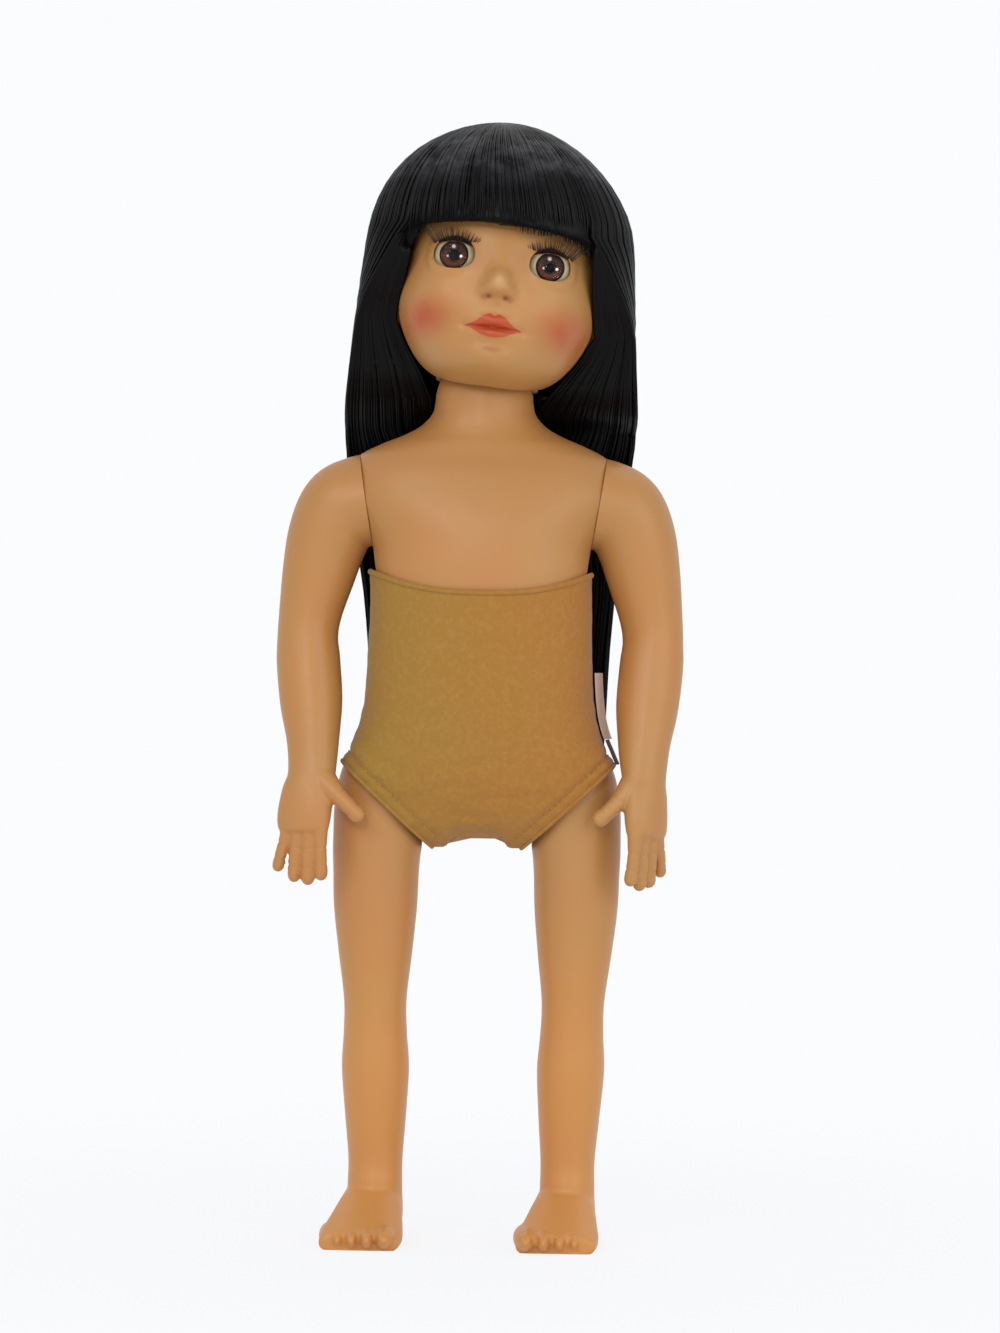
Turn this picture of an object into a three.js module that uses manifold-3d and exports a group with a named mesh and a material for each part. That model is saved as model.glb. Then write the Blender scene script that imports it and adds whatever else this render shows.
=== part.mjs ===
// A standing play doll of the 18-inch class, in millimetres.
// +Z is up, the face looks along -Y, and the doll's left side is +X.
// The origin is on the floor, midway between the feet.
import * as THREE from 'three';
import { mergeVertices } from 'three/addons/utils/BufferGeometryUtils.js';
import Module from 'manifold-3d';

const wasm = await Module();
wasm.setup();

// Clearances
const restGap = 0.3;
const jointGap = 0.4;
const neckGap = 0.45;

// Heights, stacked from the floor
const crotchHeight = 165;
const torsoRise = 138;
const neckRise = 40;
const shoulderHeight = crotchHeight + torsoRise;
const neckPivotHeight = shoulderHeight + neckRise;
const clothEdgeDrop = 34.3;
const clothEdgeHeight = shoulderHeight - clothEdgeDrop;
const clothEdgeRise = 4.1;
const clothEdgeSpan = 28.7;
const plateDepth = 54;
const plateBottomHeight = shoulderHeight - plateDepth;
const hairHemRise = 22;
const hairHemHeight = crotchHeight + hairHemRise;

// A height at a share of the way from the shoulder's pivot up to the neck's.
function alongNeck(share) {
  return shoulderHeight + share * neckRise;
}

// Vinyl, cloth and stuffing
const vinylWall = 2.5;
const clothWall = 1.2;

// Head, measured from the midpoint between the eyes
const headHalfWidth = 39;
const headFront = 39;
const headBack = 46;
const headTop = 47;
const headBottom = 50.4;
const headFullness = 2.4;
const headCentre = new THREE.Vector3(0, -1, -3);
const headRoll = 6.6;
const headPitch = -7;
const pivotBehindEyes = 11.7;
const pivotBelowEyes = 48.7;
const eyeHeight = neckPivotHeight + pivotBelowEyes;
const hairRise = 18.3;

// Eyes
const eyeSpacing = 36.4;
const eyeDepth = -28.5;
const eyeYaw = 8;
const eyeballRadius = 10.2;
const lidThickness = 0.45;
const lidEdgeAngle = 33;
const lidSweepAngle = 100;
const eyeOpeningWidth = 17.4;
const eyeOpeningAbove = 7.8;
const eyeOpeningBelow = 6;
const irisRadius = 5.6;
const irisThickness = 0.8;
const irisFloor = 7.2;
const pupilRadius = 1.9;
const pinRadius = 0.8;
const caseWall = 1.3;
const weightRadius = 4.5;
const weightArmRadius = 1.2;
const weightAngle = 72;
const lashLength = 5;
const lashSpread = 28;

// Neck joint, shell inside shell, from the vinyl dome inwards
const neckDepth = 3;
const neckDomeRadius = 20;
const neckShellWall = 1.3;
const headCupWall = 2.2;
const headCupReach = 71;
const domeHoleRadius = 10.2;
const swivelHoleRadius = 9.2;
const saddleHoleRadius = 6.8;
const stemRadius = 2.5;
const anchorRadius = 7;
const anchorThickness = 2;

// Shoulder joint
const shoulderHalfSpan = 47.5;
const shoulderSlant = 9;
const shoulderSeatRadius = 20.3;
const armEndRadius = 19.3;
const plugStemRadius = 8.5;
const plugFlangeRadius = 10.8;
const plugFlangeThickness = 2;
const socketRadius = plugStemRadius + restGap;

// Hip joint: the plane of the leg opening and the groove that the tie lies in
const hipSlope = 42.8;
const hipHalfWidth = 58;
const legOpeningAcross = hipHalfWidth - 21;
const legOpeningRise = 13.5;
const legOpeningHeight = crotchHeight + legOpeningRise;
const gussetHeight = 16;
const stuffingLift = 3;
const grooveOffset = 6.5;
const grooveWidth = 3;
const grooveFloorRadius = 15.5;
const flangeRadius = 18.2;
const flangeThickness = 2;
const tieRadius = 1.1;
const hipDiscThickness = 1.6;

// Side labels
const labelWidth = 9;
const labelThickness = 0.6;
const careLabelLength = 27;
const sizeLabelLength = 9;

const skinPaint = 0xc98f5e;
const clothPaint = 0xac7c3c;
const hairPaint = 0x1e1e20;

// Turns a closed geometry into a solid whose faces point out.
function solid(geometry) {
  const bare = geometry.clone();
  bare.deleteAttribute('normal');
  bare.deleteAttribute('uv');
  const merged = mergeVertices(bare, 1e-4);
  const vertProperties = new Float32Array(merged.attributes.position.array);
  const triVerts = new Uint32Array(merged.index.array);
  if (signedVolume(vertProperties, triVerts) < 0) {
    for (let i = 0; i < triVerts.length; i += 3) {
      [triVerts[i], triVerts[i + 1]] = [triVerts[i + 1], triVerts[i]];
    }
  }
  return new wasm.Manifold(new wasm.Mesh({ numProp: 3, vertProperties, triVerts }));
}

function signedVolume(places, faces) {
  const corners = [new THREE.Vector3(), new THREE.Vector3(), new THREE.Vector3()];
  let volume = 0;
  for (let i = 0; i < faces.length; i += 3) {
    corners.forEach((corner, k) => corner.fromArray(places, 3 * faces[i + k]));
    volume += corners[0].dot(corners[1].clone().cross(corners[2])) / 6;
  }
  return volume;
}

function geometryOf(body) {
  const mesh = body.getMesh();
  const geometry = new THREE.BufferGeometry();
  geometry.setAttribute('position', new THREE.BufferAttribute(mesh.vertProperties, 3));
  geometry.setIndex(new THREE.BufferAttribute(mesh.triVerts, 1));
  geometry.computeVertexNormals();
  return geometry;
}

// The largest separate body of a cut, so that no sliver is left beside it.
function mainBody(body) {
  const bodies = body.decompose();
  return bodies.reduce((best, one) => (one.volume() > best.volume() ? one : best));
}

function placed(geometry, matrix) {
  return geometry.clone().applyMatrix4(matrix);
}

// Rows of equal length joined into a closed skin, with a fan over each end.
function loft(rows) {
  const around = rows[0].length;
  const points = rows.flat();
  const faces = [];
  for (let row = 0; row + 1 < rows.length; row += 1) {
    for (let i = 0; i < around; i += 1) {
      const a = row * around + i;
      const b = row * around + (i + 1) % around;
      faces.push(a, b, a + around, b, b + around, a + around);
    }
  }
  [0, rows.length - 1].forEach((row) => {
    const middle = new THREE.Vector3();
    rows[row].forEach((point) => middle.addScaledVector(point, 1 / around));
    points.push(middle);
    for (let i = 0; i < around; i += 1) {
      const a = row * around + i;
      const b = row * around + (i + 1) % around;
      faces.push(...(row === 0 ? [points.length - 1, b, a] : [points.length - 1, a, b]));
    }
  });
  const geometry = new THREE.BufferGeometry().setFromPoints(points);
  geometry.setIndex(faces);
  return geometry;
}

function signedPower(value, power) {
  return Math.sign(value) * Math.abs(value) ** power;
}

// A closed outline round a centre, along two axes, squarer as its fullness passes 2.
function outline({ centre, across, along, halfWidth, front, back, fullness = 2, sides }) {
  const points = [];
  for (let i = 0; i < sides; i += 1) {
    const angle = 2 * Math.PI * i / sides;
    const side = signedPower(Math.cos(angle), 2 / fullness) * halfWidth;
    const depth = signedPower(Math.sin(angle), 2 / fullness);
    const reach = depth * (depth < 0 ? front : back);
    points.push(centre.clone().addScaledVector(across, side).addScaledVector(along, reach));
  }
  return points;
}

const axisX = new THREE.Vector3(1, 0, 0);
const axisY = new THREE.Vector3(0, 1, 0);
const axisZ = new THREE.Vector3(0, 0, 1);

// A value between stations, smooth through them all: each station holds the same keys.
function blendStations(stations, rows) {
  const keys = Object.keys(stations[0]);
  const curves = keys.map((key) => new THREE.CatmullRomCurve3(
    stations.map((station, i) => new THREE.Vector3(station[key], i, 0)),
    false,
    'catmullrom',
    0.5,
  ));
  const result = [];
  for (let row = 0; row <= rows; row += 1) {
    const share = row / rows;
    result.push(Object.fromEntries(keys.map((key, k) => [key, curves[k].getPoint(share).x])));
  }
  return result;
}

// A trunk or limb whose sections lie flat, one above the other.
function standingLoft(stations, rows, sides, fullness, inset = 0) {
  return loft(blendStations(stations, rows).map((station) => outline({
    centre: new THREE.Vector3(station.x ?? 0, 0, station.z),
    across: axisX,
    along: axisY,
    halfWidth: Math.max(station.halfWidth - inset, 0.5),
    front: Math.max(station.front - inset, 0.5),
    back: Math.max(station.back - inset, 0.5),
    fullness: station.fullness ?? fullness,
    sides,
  })));
}

// A limb whose sections stand square to a curved middle line.
function bentLoft(stations, rows, sides, inset = 0, turn = 0) {
  const all = blendStations(stations, rows);
  const middle = all.map((station) => new THREE.Vector3(station.x, station.y, station.z));
  return loft(all.map((station, i) => {
    const before = middle[Math.max(i - 1, 0)];
    const after = middle[Math.min(i + 1, middle.length - 1)];
    const heading = after.clone().sub(before).normalize();
    const across = axisY.clone().cross(heading).normalize();
    const twist = THREE.MathUtils.degToRad(turn * (station.twist ?? 0));
    across.applyAxisAngle(heading, twist);
    const along = heading.clone().cross(across);
    return outline({
      centre: middle[i],
      across,
      along,
      halfWidth: Math.max(station.halfWidth - inset, 0.5),
      front: Math.max(station.halfDepth - inset, 0.5),
      back: Math.max(station.halfDepth - inset, 0.5),
      sides,
    });
  }));
}

// A round piece turned about +Z from a profile of [radius, height] points.
function turned(profile, sides = 14) {
  const points = profile.map(([radius, height]) => new THREE.Vector2(Math.max(radius, 0), height));
  return new THREE.LatheGeometry(points, sides).rotateX(Math.PI / 2);
}

function disc(radius, from, to, sides = 14) {
  return turned([[0, from], [radius, from], [radius, to], [0, to]], sides);
}

function ring(inner, outer, from, to, sides = 14) {
  return turned([[inner, from], [outer, from], [outer, to], [inner, to], [inner, from]], sides);
}

// Part of a hollow ball, between two angles from +Z. A first angle of 0 closes its top.
function ballShell(inner, outer, fromAngle, toAngle, sides = 18, steps = 4) {
  const arc = (radius, start, end) => {
    const points = [];
    for (let i = 0; i <= steps; i += 1) {
      const angle = THREE.MathUtils.degToRad(start + (end - start) * i / steps);
      points.push([radius * Math.sin(angle), radius * Math.cos(angle)]);
    }
    return points;
  };
  const profile = [...arc(outer, fromAngle, toAngle), ...arc(inner, toAngle, fromAngle)];
  if (fromAngle > 0) {
    profile.push(profile[0]);
  }
  return turned(profile, sides);
}

function ball(radius, widthSteps = 14, heightSteps = 10) {
  return new THREE.SphereGeometry(radius, widthSteps, heightSteps);
}

// A ball whose poles lie on the pivot line of an eye, so that shells turn inside each other.
function pivotBall(radius, around = 16, along = 8) {
  return ball(radius, around, along).rotateZ(Math.PI / 2);
}

// Turns a piece made along +Z so that it points along a direction from a place.
function aimed(direction, place) {
  const turn = new THREE.Quaternion().setFromUnitVectors(axisZ, direction.clone().normalize());
  return new THREE.Matrix4().compose(place, turn, new THREE.Vector3(1, 1, 1));
}

const doll = new THREE.Group();

function add(name, geometry, colour, options = {}) {
  const { parent = doll, roughness = 0.6, metalness = 0, opacity = 1 } = options;
  const material = new THREE.MeshStandardMaterial({
    color: colour,
    roughness,
    metalness,
    opacity,
    transparent: opacity < 1,
  });
  const mesh = new THREE.Mesh(geometryOf(solid(geometry)), material);
  mesh.name = name;
  parent.add(mesh);
  return mesh;
}

const sides = [{ name: 'left', sign: 1 }, { name: 'right', sign: -1 }];

function mirrored(geometry, sign) {
  return sign > 0 ? geometry : geometry.clone().scale(-1, 1, 1);
}

// Where the head hangs: it rolls and pitches about the neck pivot.
const neckPivot = new THREE.Vector3(0, neckDepth, neckPivotHeight);
const pivotInHead = new THREE.Vector3(0, pivotBehindEyes, -pivotBelowEyes);
const headTurn = new THREE.Matrix4()
  .makeRotationY(THREE.MathUtils.degToRad(headRoll))
  .multiply(new THREE.Matrix4().makeRotationX(THREE.MathUtils.degToRad(headPitch)));
const headPlace = new THREE.Matrix4()
  .makeTranslation(neckPivot)
  .multiply(headTurn)
  .multiply(new THREE.Matrix4().makeTranslation(pivotInHead.clone().negate()));
const headUp = axisZ.clone().transformDirection(headTurn);

// Rises and dents of the face. Each is centred at x and z, and pushes along -Y.
const broadFeatures = [
  { x: 0, z: -42, wide: 15, high: 10, push: 10.5 },
  { x: 0, z: -24, wide: 20, high: 12, push: 2.2 },
  { x: 26, z: -19, wide: 12, high: 12, push: 2.4 },
  { x: 18, z: 2, wide: 9, high: 7, push: -1.6 },
];
const fineFeatures = [
  { x: 0, z: -8.6, wide: 4.6, high: 5.4, push: 8.4 },
  { x: 0, z: -1, wide: 4, high: 8, push: 2 },
  { x: 5, z: -12, wide: 3, high: 3, push: 3 },
  { x: 0, z: -24.2, wide: 8, high: 2.4, push: 2.4 },
  { x: 0, z: -30, wide: 6.5, high: 2.6, push: 2.4 },
];

function bump(point, feature) {
  const side = Math.abs(Math.abs(point.x) - feature.x) / feature.wide;
  const rise = (point.z - feature.z) / feature.high;
  return feature.push * Math.exp(-side * side - rise * rise);
}

const cheekWidening = 2;
const cheekHeight = -19;
const cheekSpread = 13;
const throatRise = 7;
const throatSpread = 26;

// The point of the head's surface that lies in a given direction from its centre.
function headPoint(direction, inset, features) {
  const reach = new THREE.Vector3(
    direction.x / (headHalfWidth - inset),
    direction.y / ((direction.y < 0 ? headFront : headBack) - inset),
    direction.z / ((direction.z < 0 ? headBottom + headCentre.z : headTop - headCentre.z) - inset),
  );
  const size = Math.abs(reach.x) ** headFullness + Math.abs(reach.y) ** headFullness
    + Math.abs(reach.z) ** headFullness;
  const point = direction.clone().multiplyScalar(size ** (-1 / headFullness)).add(headCentre);
  const facing = THREE.MathUtils.smoothstep(-direction.y, 0.1, 0.45);
  const widening = Math.exp(-(((point.z - cheekHeight) / cheekSpread) ** 2));
  const sideways = Math.abs(point.x) / headHalfWidth;
  point.x += Math.sign(point.x) * cheekWidening * widening * sideways * sideways;
  const fromThroat = Math.hypot(point.x, point.y - pivotBehindEyes) / throatSpread;
  if (point.z < headCentre.z) {
    point.z += throatRise * Math.exp(-fromThroat * fromThroat);
  }
  const start = point.clone();
  features.forEach((feature) => {
    point.y -= facing * bump(start, feature);
  });
  return point;
}

// A ball's points moved onto the head, with more of them on the face.
function headForm(inset, features, widthSteps, heightSteps) {
  const geometry = ball(1, widthSteps, heightSteps).rotateX(Math.PI / 2);
  const places = geometry.attributes.position;
  const point = new THREE.Vector3();
  for (let i = 0; i < places.count; i += 1) {
    point.fromBufferAttribute(places, i);
    const flat = Math.hypot(point.x, point.y);
    const angle = Math.atan2(point.x, -point.y);
    const nearer = angle - 0.42 * Math.sin(angle);
    point.set(flat * Math.sin(nearer), -flat * Math.cos(nearer), point.z).normalize();
    const moved = headPoint(point, inset, features);
    places.setXYZ(i, moved.x, moved.y, moved.z);
  }
  return geometry;
}

const earForward = 3;
const earHeight = -13;
const earSize = new THREE.Vector3(2.6, 6, 9);

function ear(sign, margin = 0) {
  return ball(1, 8, 6)
    .scale(earSize.x + margin, earSize.y + margin, earSize.z + margin)
    .translate(sign * headHalfWidth, earForward, earHeight);
}

const lidInner = eyeballRadius + restGap;
const lidOuter = lidInner + lidThickness;
const socketBall = lidOuter + restGap;
const lidBulge = socketBall + 1.1;

function eyePlace(sign) {
  return new THREE.Matrix4()
    .makeTranslation(sign * eyeSpacing / 2, eyeDepth, 0)
    .multiply(new THREE.Matrix4().makeRotationZ(THREE.MathUtils.degToRad(sign * eyeYaw)));
}

// The almond opening, a prism that runs forward from the middle of the eye.
function eyeOpening() {
  const shape = new THREE.Shape();
  const halfWidth = eyeOpeningWidth / 2;
  const steps = 12;
  for (let i = 0; i < steps; i += 1) {
    const angle = 2 * Math.PI * i / steps;
    const across = Math.cos(angle) * halfWidth;
    const rise = signedPower(Math.sin(angle), 0.9);
    const up = rise * (rise > 0 ? eyeOpeningAbove : eyeOpeningBelow);
    shape[i === 0 ? 'moveTo' : 'lineTo'](across, up);
  }
  return new THREE.ExtrudeGeometry(shape, { depth: 2 * eyeballRadius, bevelEnabled: false })
    .rotateX(Math.PI / 2);
}

const innerSteps = 12;
const innerRows = 8;

function makeHead() {
  const allFeatures = [...broadFeatures, ...fineFeatures];
  let shell = solid(headForm(0, allFeatures, 28, 18));
  sides.forEach(({ sign }) => {
    shell = shell.add(solid(ear(sign)));
    const bulge = solid(placed(ball(lidBulge, 12, 6), eyePlace(sign)));
    shell = shell.add(bulge.trimByPlane([0, -1, 0], -(eyeDepth - lidBulge / 3)));
  });
  shell = shell.subtract(solid(headForm(vinylWall, broadFeatures, innerSteps, innerRows)));
  sides.forEach(({ sign }) => {
    shell = shell.subtract(solid(placed(pivotBall(socketBall), eyePlace(sign))));
    shell = shell.subtract(solid(placed(eyeOpening(), eyePlace(sign))));
  });
  const neckHole = ball(neckDomeRadius + neckGap + headCupWall + 2 * restGap, 18, 12);
  shell = shell.subtract(solid(neckHole.rotateX(Math.PI / 2).translate(...pivotInHead.toArray())));
  return geometryOf(mainBody(shell));
}

const headGroup = new THREE.Group();
headGroup.applyMatrix4(headPlace);
doll.add(headGroup);
add('head_shell', makeHead(), skinPaint, { parent: headGroup, roughness: 0.5 });

// The parts of one eye, in a frame whose origin is the middle of the eyeball.
const caseInner = lidOuter + restGap;
const caseOuter = caseInner + caseWall;
const weightReach = caseOuter + restGap + weightRadius;
const downBack = THREE.MathUtils.degToRad(-weightAngle);
const weightDirection = new THREE.Vector3(0, Math.cos(downBack), Math.sin(downBack));

function eyeball() {
  let body = solid(pivotBall(eyeballRadius));
  const recess = disc(irisRadius + restGap, irisFloor, eyeballRadius + 1, 14).rotateX(Math.PI / 2);
  body = body.subtract(solid(recess));
  const bore = disc(pinRadius + restGap, -eyeballRadius - 1, eyeballRadius + 1, 6);
  body = body.subtract(solid(bore.rotateY(Math.PI / 2)));
  const armHole = disc(weightArmRadius, 0, weightReach, 8);
  return body.subtract(solid(placed(armHole, aimed(weightDirection, weightDirection.clone()
    .multiplyScalar(eyeballRadius * 0.6)))));
}

const irisBack = irisFloor + restGap;
const corneaBack = irisBack + irisThickness + restGap;

function cornea() {
  const points = [[0, corneaBack], [irisRadius, corneaBack]];
  const domeRadius = eyeballRadius - restGap / 2;
  const edge = Math.asin(irisRadius / domeRadius);
  for (let i = 0; i <= 4; i += 1) {
    const angle = edge * (1 - i / 4);
    points.push([domeRadius * Math.sin(angle), domeRadius * Math.cos(angle)]);
  }
  return turned(points, 14).rotateX(Math.PI / 2);
}

// A lune of thin shell, from the lid's edge over the top of the eyeball.
function eyelid() {
  let body = solid(pivotBall(lidOuter)).subtract(solid(pivotBall(lidInner)));
  const edge = THREE.MathUtils.degToRad(lidEdgeAngle);
  const end = THREE.MathUtils.degToRad(lidEdgeAngle + lidSweepAngle);
  body = body.trimByPlane([0, Math.sin(edge), Math.cos(edge)], 0);
  body = body.trimByPlane([0, -Math.sin(end), -Math.cos(end)], 0);
  const pinHole = disc(pinRadius + restGap, -caseOuter, caseOuter, 6).rotateY(Math.PI / 2);
  return mainBody(body.subtract(solid(pinHole)));
}

// A fan of lashes that stands out from the lid's edge, thin at its tips.
function lashes() {
  const rows = [];
  const steps = 10;
  const spread = THREE.MathUtils.degToRad(lashSpread);
  const lift = THREE.MathUtils.degToRad(lidEdgeAngle - 1.6);
  for (let i = 0; i <= steps; i += 1) {
    const angle = -spread + 2 * spread * i / steps;
    const out = new THREE.Vector3(
      Math.sin(angle),
      -Math.cos(angle) * Math.cos(lift),
      Math.cos(angle) * Math.sin(lift),
    );
    const root = out.clone().multiplyScalar(lidInner);
    const tip = out.clone().multiplyScalar(lidInner + lashLength);
    const thick = new THREE.Vector3(0, -Math.sin(lift), -Math.cos(lift)).multiplyScalar(0.25);
    rows.push([root, tip, tip.clone().add(thick), root.clone().add(thick)]);
  }
  return loft(rows);
}

function eyeCase(sign) {
  let body = solid(pivotBall(caseOuter, 12, 6)).subtract(solid(pivotBall(caseInner)));
  body = body.trimByPlane([0, 1, 0], -2.8);
  const slotHalf = weightArmRadius + 3 * restGap;
  const slot = new THREE.BoxGeometry(2 * slotHalf, 4 * caseOuter, 4 * caseOuter);
  slot.translate(0, 2 * caseOuter, -2 * caseOuter);
  const slotBody = solid(slot)
    .trimByPlane([0, -Math.sin(0.12), -Math.cos(0.12)], -1.5)
    .trimByPlane([0, 1, 0], 0.2);
  body = body.subtract(slotBody);
  const pinHole = disc(pinRadius + restGap, -caseOuter - 1, caseOuter + 1, 6).rotateY(Math.PI / 2);
  body = body.subtract(solid(pinHole)).intersect(solid(placed(
    headForm(vinylWall + restGap, broadFeatures, innerSteps, innerRows),
    eyePlace(sign).invert(),
  )));
  return mainBody(body);
}

function weight() {
  const arm = disc(weightArmRadius - restGap, eyeballRadius * 0.6 + restGap, weightReach, 8);
  return solid(arm).add(solid(ball(weightRadius, 8, 6).translate(0, 0, weightReach)));
}

function makeEye(name, sign) {
  const group = new THREE.Group();
  group.applyMatrix4(eyePlace(sign));
  headGroup.add(group);
  const here = { parent: group };
  add(`${name}_eyeball`, geometryOf(eyeball()), 0xcbbf9c, { ...here, roughness: 0.15 });
  const iris = ring(pupilRadius + restGap, irisRadius, irisBack, irisBack + irisThickness, 14);
  add(`${name}_iris`, iris.rotateX(Math.PI / 2), 0x4b2c17, { ...here, roughness: 0.2 });
  const pupil = disc(pupilRadius, irisBack, irisBack + irisThickness, 12).rotateX(Math.PI / 2);
  add(`${name}_pupil`, pupil, 0x090606, { ...here, roughness: 0.2 });
  add(`${name}_cornea`, cornea(), 0xffffff, { ...here, roughness: 0.03, opacity: 0.3 });
  add(`${name}_lid`, geometryOf(eyelid()), skinPaint, here);
  add(`${name}_lashes`, lashes(), 0x17120f, { ...here, roughness: 0.8 });
  const pin = disc(pinRadius, -caseOuter, lidOuter, 6).rotateY(sign * Math.PI / 2);
  add(`${name}_eye_pin`, pin, 0x9a9a9a, { ...here, roughness: 0.3, metalness: 1 });
  const arm = aimed(weightDirection, new THREE.Vector3());
  add(`${name}_eye_weight`, placed(geometryOf(weight()), arm), 0x55565a, { ...here, metalness: 1 });
  add(`${name}_eye_case`, geometryOf(eyeCase(sign)), 0xe6e2d8, here);
}

sides.forEach(({ name, sign }) => makeEye(name, sign));

// Neck joint
const domeInner = neckDomeRadius - vinylWall;
const swivelOuter = domeInner - neckGap;
const swivelInner = swivelOuter - neckShellWall;
const saddleOuter = swivelInner - neckGap;
const saddleInner = saddleOuter - neckShellWall;
const stemCapOuter = saddleInner - neckGap;
const stemCapInner = stemCapOuter - neckShellWall;
const cupInner = neckDomeRadius + neckGap;
const cupOuter = cupInner + headCupWall;

function holeAngle(holeRadius, shellRadius) {
  return THREE.MathUtils.radToDeg(Math.asin(holeRadius / shellRadius));
}

function headStem() {
  const cap = solid(ballShell(stemCapInner, stemCapOuter, 0, 52, 18, 3));
  const anchorBottom = cupOuter + restGap;
  const stem = solid(disc(stemRadius, stemCapInner + 0.5, anchorBottom + 0.5, 12));
  const anchor = solid(disc(anchorRadius, anchorBottom, anchorBottom + anchorThickness, 14));
  return cap.add(stem).add(anchor);
}

function makeNeckJoint() {
  const swivelHole = holeAngle(swivelHoleRadius, swivelOuter);
  const swivel = ballShell(swivelInner, swivelOuter, swivelHole, 76);
  add('neck_swivel', swivel.translate(...neckPivot.toArray()), 0xd8d2c4);
  const rolled = new THREE.Vector3(Math.sin(THREE.MathUtils.degToRad(headRoll)), 0,
    Math.cos(THREE.MathUtils.degToRad(headRoll)));
  const saddleHole = holeAngle(saddleHoleRadius, saddleOuter);
  const saddle = ballShell(saddleInner, saddleOuter, saddleHole, 70);
  add('neck_saddle', placed(saddle, aimed(rolled, neckPivot)), 0xcfc8b8);
  const headAim = aimed(headUp, neckPivot);
  add('head_stem', placed(geometryOf(headStem()), headAim), 0xe6e2d8);
  const cupHole = holeAngle(stemRadius + restGap, cupInner);
  const cup = ballShell(cupInner, cupOuter, cupHole, headCupReach, 18, 5);
  add('head_cup', placed(cup, headAim), skinPaint);
}

makeNeckJoint();

// Shoulder plate: neck dome, sloping shoulders, chest and the flange inside the cloth.
const neckFoot = 0.75;
const plateStations = [
  { z: plateBottomHeight, halfWidth: 43.6, front: 33.2, back: 28.8, y: 0, fullness: 2.5 },
  { z: shoulderHeight - 41, halfWidth: 43.8, front: 33.4, back: 29, y: 0, fullness: 2.5 },
  { z: shoulderHeight - 29, halfWidth: 44, front: 33.4, back: 29.6, y: 0, fullness: 2.5 },
  { z: shoulderHeight - 19, halfWidth: shoulderHalfSpan - 2.5, front: 33, back: 30, y: 0, fullness: 2.4 },
  { z: shoulderHeight - 10, halfWidth: shoulderHalfSpan + 2.5, front: 32, back: 30, y: 0, fullness: 2.3 },
  { z: shoulderHeight, halfWidth: shoulderHalfSpan + 8.5, front: 30, back: 29, y: 0.5, fullness: 2.3 },
  { z: alongNeck(0.25), halfWidth: shoulderHalfSpan + 7.5, front: 27, back: 27, y: 1, fullness: 2.3 },
  { z: alongNeck(0.425), halfWidth: shoulderHalfSpan + 3.5, front: 24, back: 25, y: 1.5, fullness: 2.2 },
  { z: alongNeck(0.55), halfWidth: shoulderHalfSpan - 5.5, front: 22.5, back: 24, y: 2, fullness: 2.1 },
  { z: alongNeck(0.65), halfWidth: 32.5, front: 21.5, back: 22.8, y: 2.6, fullness: 2 },
  { z: alongNeck(neckFoot), halfWidth: 25.6, front: 20.8, back: 21.6, y: neckDepth, fullness: 2 },
  { z: alongNeck(0.875), halfWidth: 21.2, front: 20.2, back: 20.4, y: neckDepth, fullness: 2 },
  {
    z: neckPivotHeight,
    halfWidth: neckDomeRadius,
    front: neckDomeRadius,
    back: neckDomeRadius,
    y: neckDepth,
    fullness: 2,
  },
];

function plateOutline(station, inset, around, height = station.z) {
  return outline({
    centre: new THREE.Vector3(0, station.y, height),
    across: axisX,
    along: axisY,
    halfWidth: station.halfWidth - inset,
    front: station.front - inset,
    back: station.back - inset,
    fullness: station.fullness,
    sides: around,
  });
}

function plateLoft(inset, rows, around, top = neckPivotHeight) {
  const stations = plateStations.filter((station) => station.z <= top);
  return loft(blendStations(stations, rows).map((station) => plateOutline(station, inset, around)));
}

// A straight-walled stretch of the plate's flange section.
function flangeOutline(inset, around, height) {
  return plateOutline(plateStations[0], inset, around, height);
}

// The plate with the groove for the tie just above its lower edge.
function grooved(inset, rows, around) {
  const low = chestGrooveHeight - chestGrooveWidth / 2;
  const high = chestGrooveHeight + chestGrooveWidth / 2;
  const lower = [
    flangeOutline(inset, around, plateBottomHeight),
    flangeOutline(inset, around, low),
    flangeOutline(inset + chestGrooveDepth, around, low),
    flangeOutline(inset + chestGrooveDepth, around, high),
    flangeOutline(inset, around, high),
  ];
  const upper = blendStations(plateStations.slice(1), rows);
  return loft([...lower, ...upper.map((station) => plateOutline(station, inset, around))]);
}

const slant = THREE.MathUtils.degToRad(shoulderSlant);

function shoulderFrame(sign) {
  const out = new THREE.Vector3(sign * Math.cos(slant), 0, -Math.sin(slant));
  return { out, centre: new THREE.Vector3(sign * shoulderHalfSpan, 0, shoulderHeight) };
}

const chestGrooveRise = 6.5;
const chestGrooveHeight = plateBottomHeight + chestGrooveRise;
const chestGrooveWidth = 3.4;
const chestGrooveDepth = 1.6;

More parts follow.
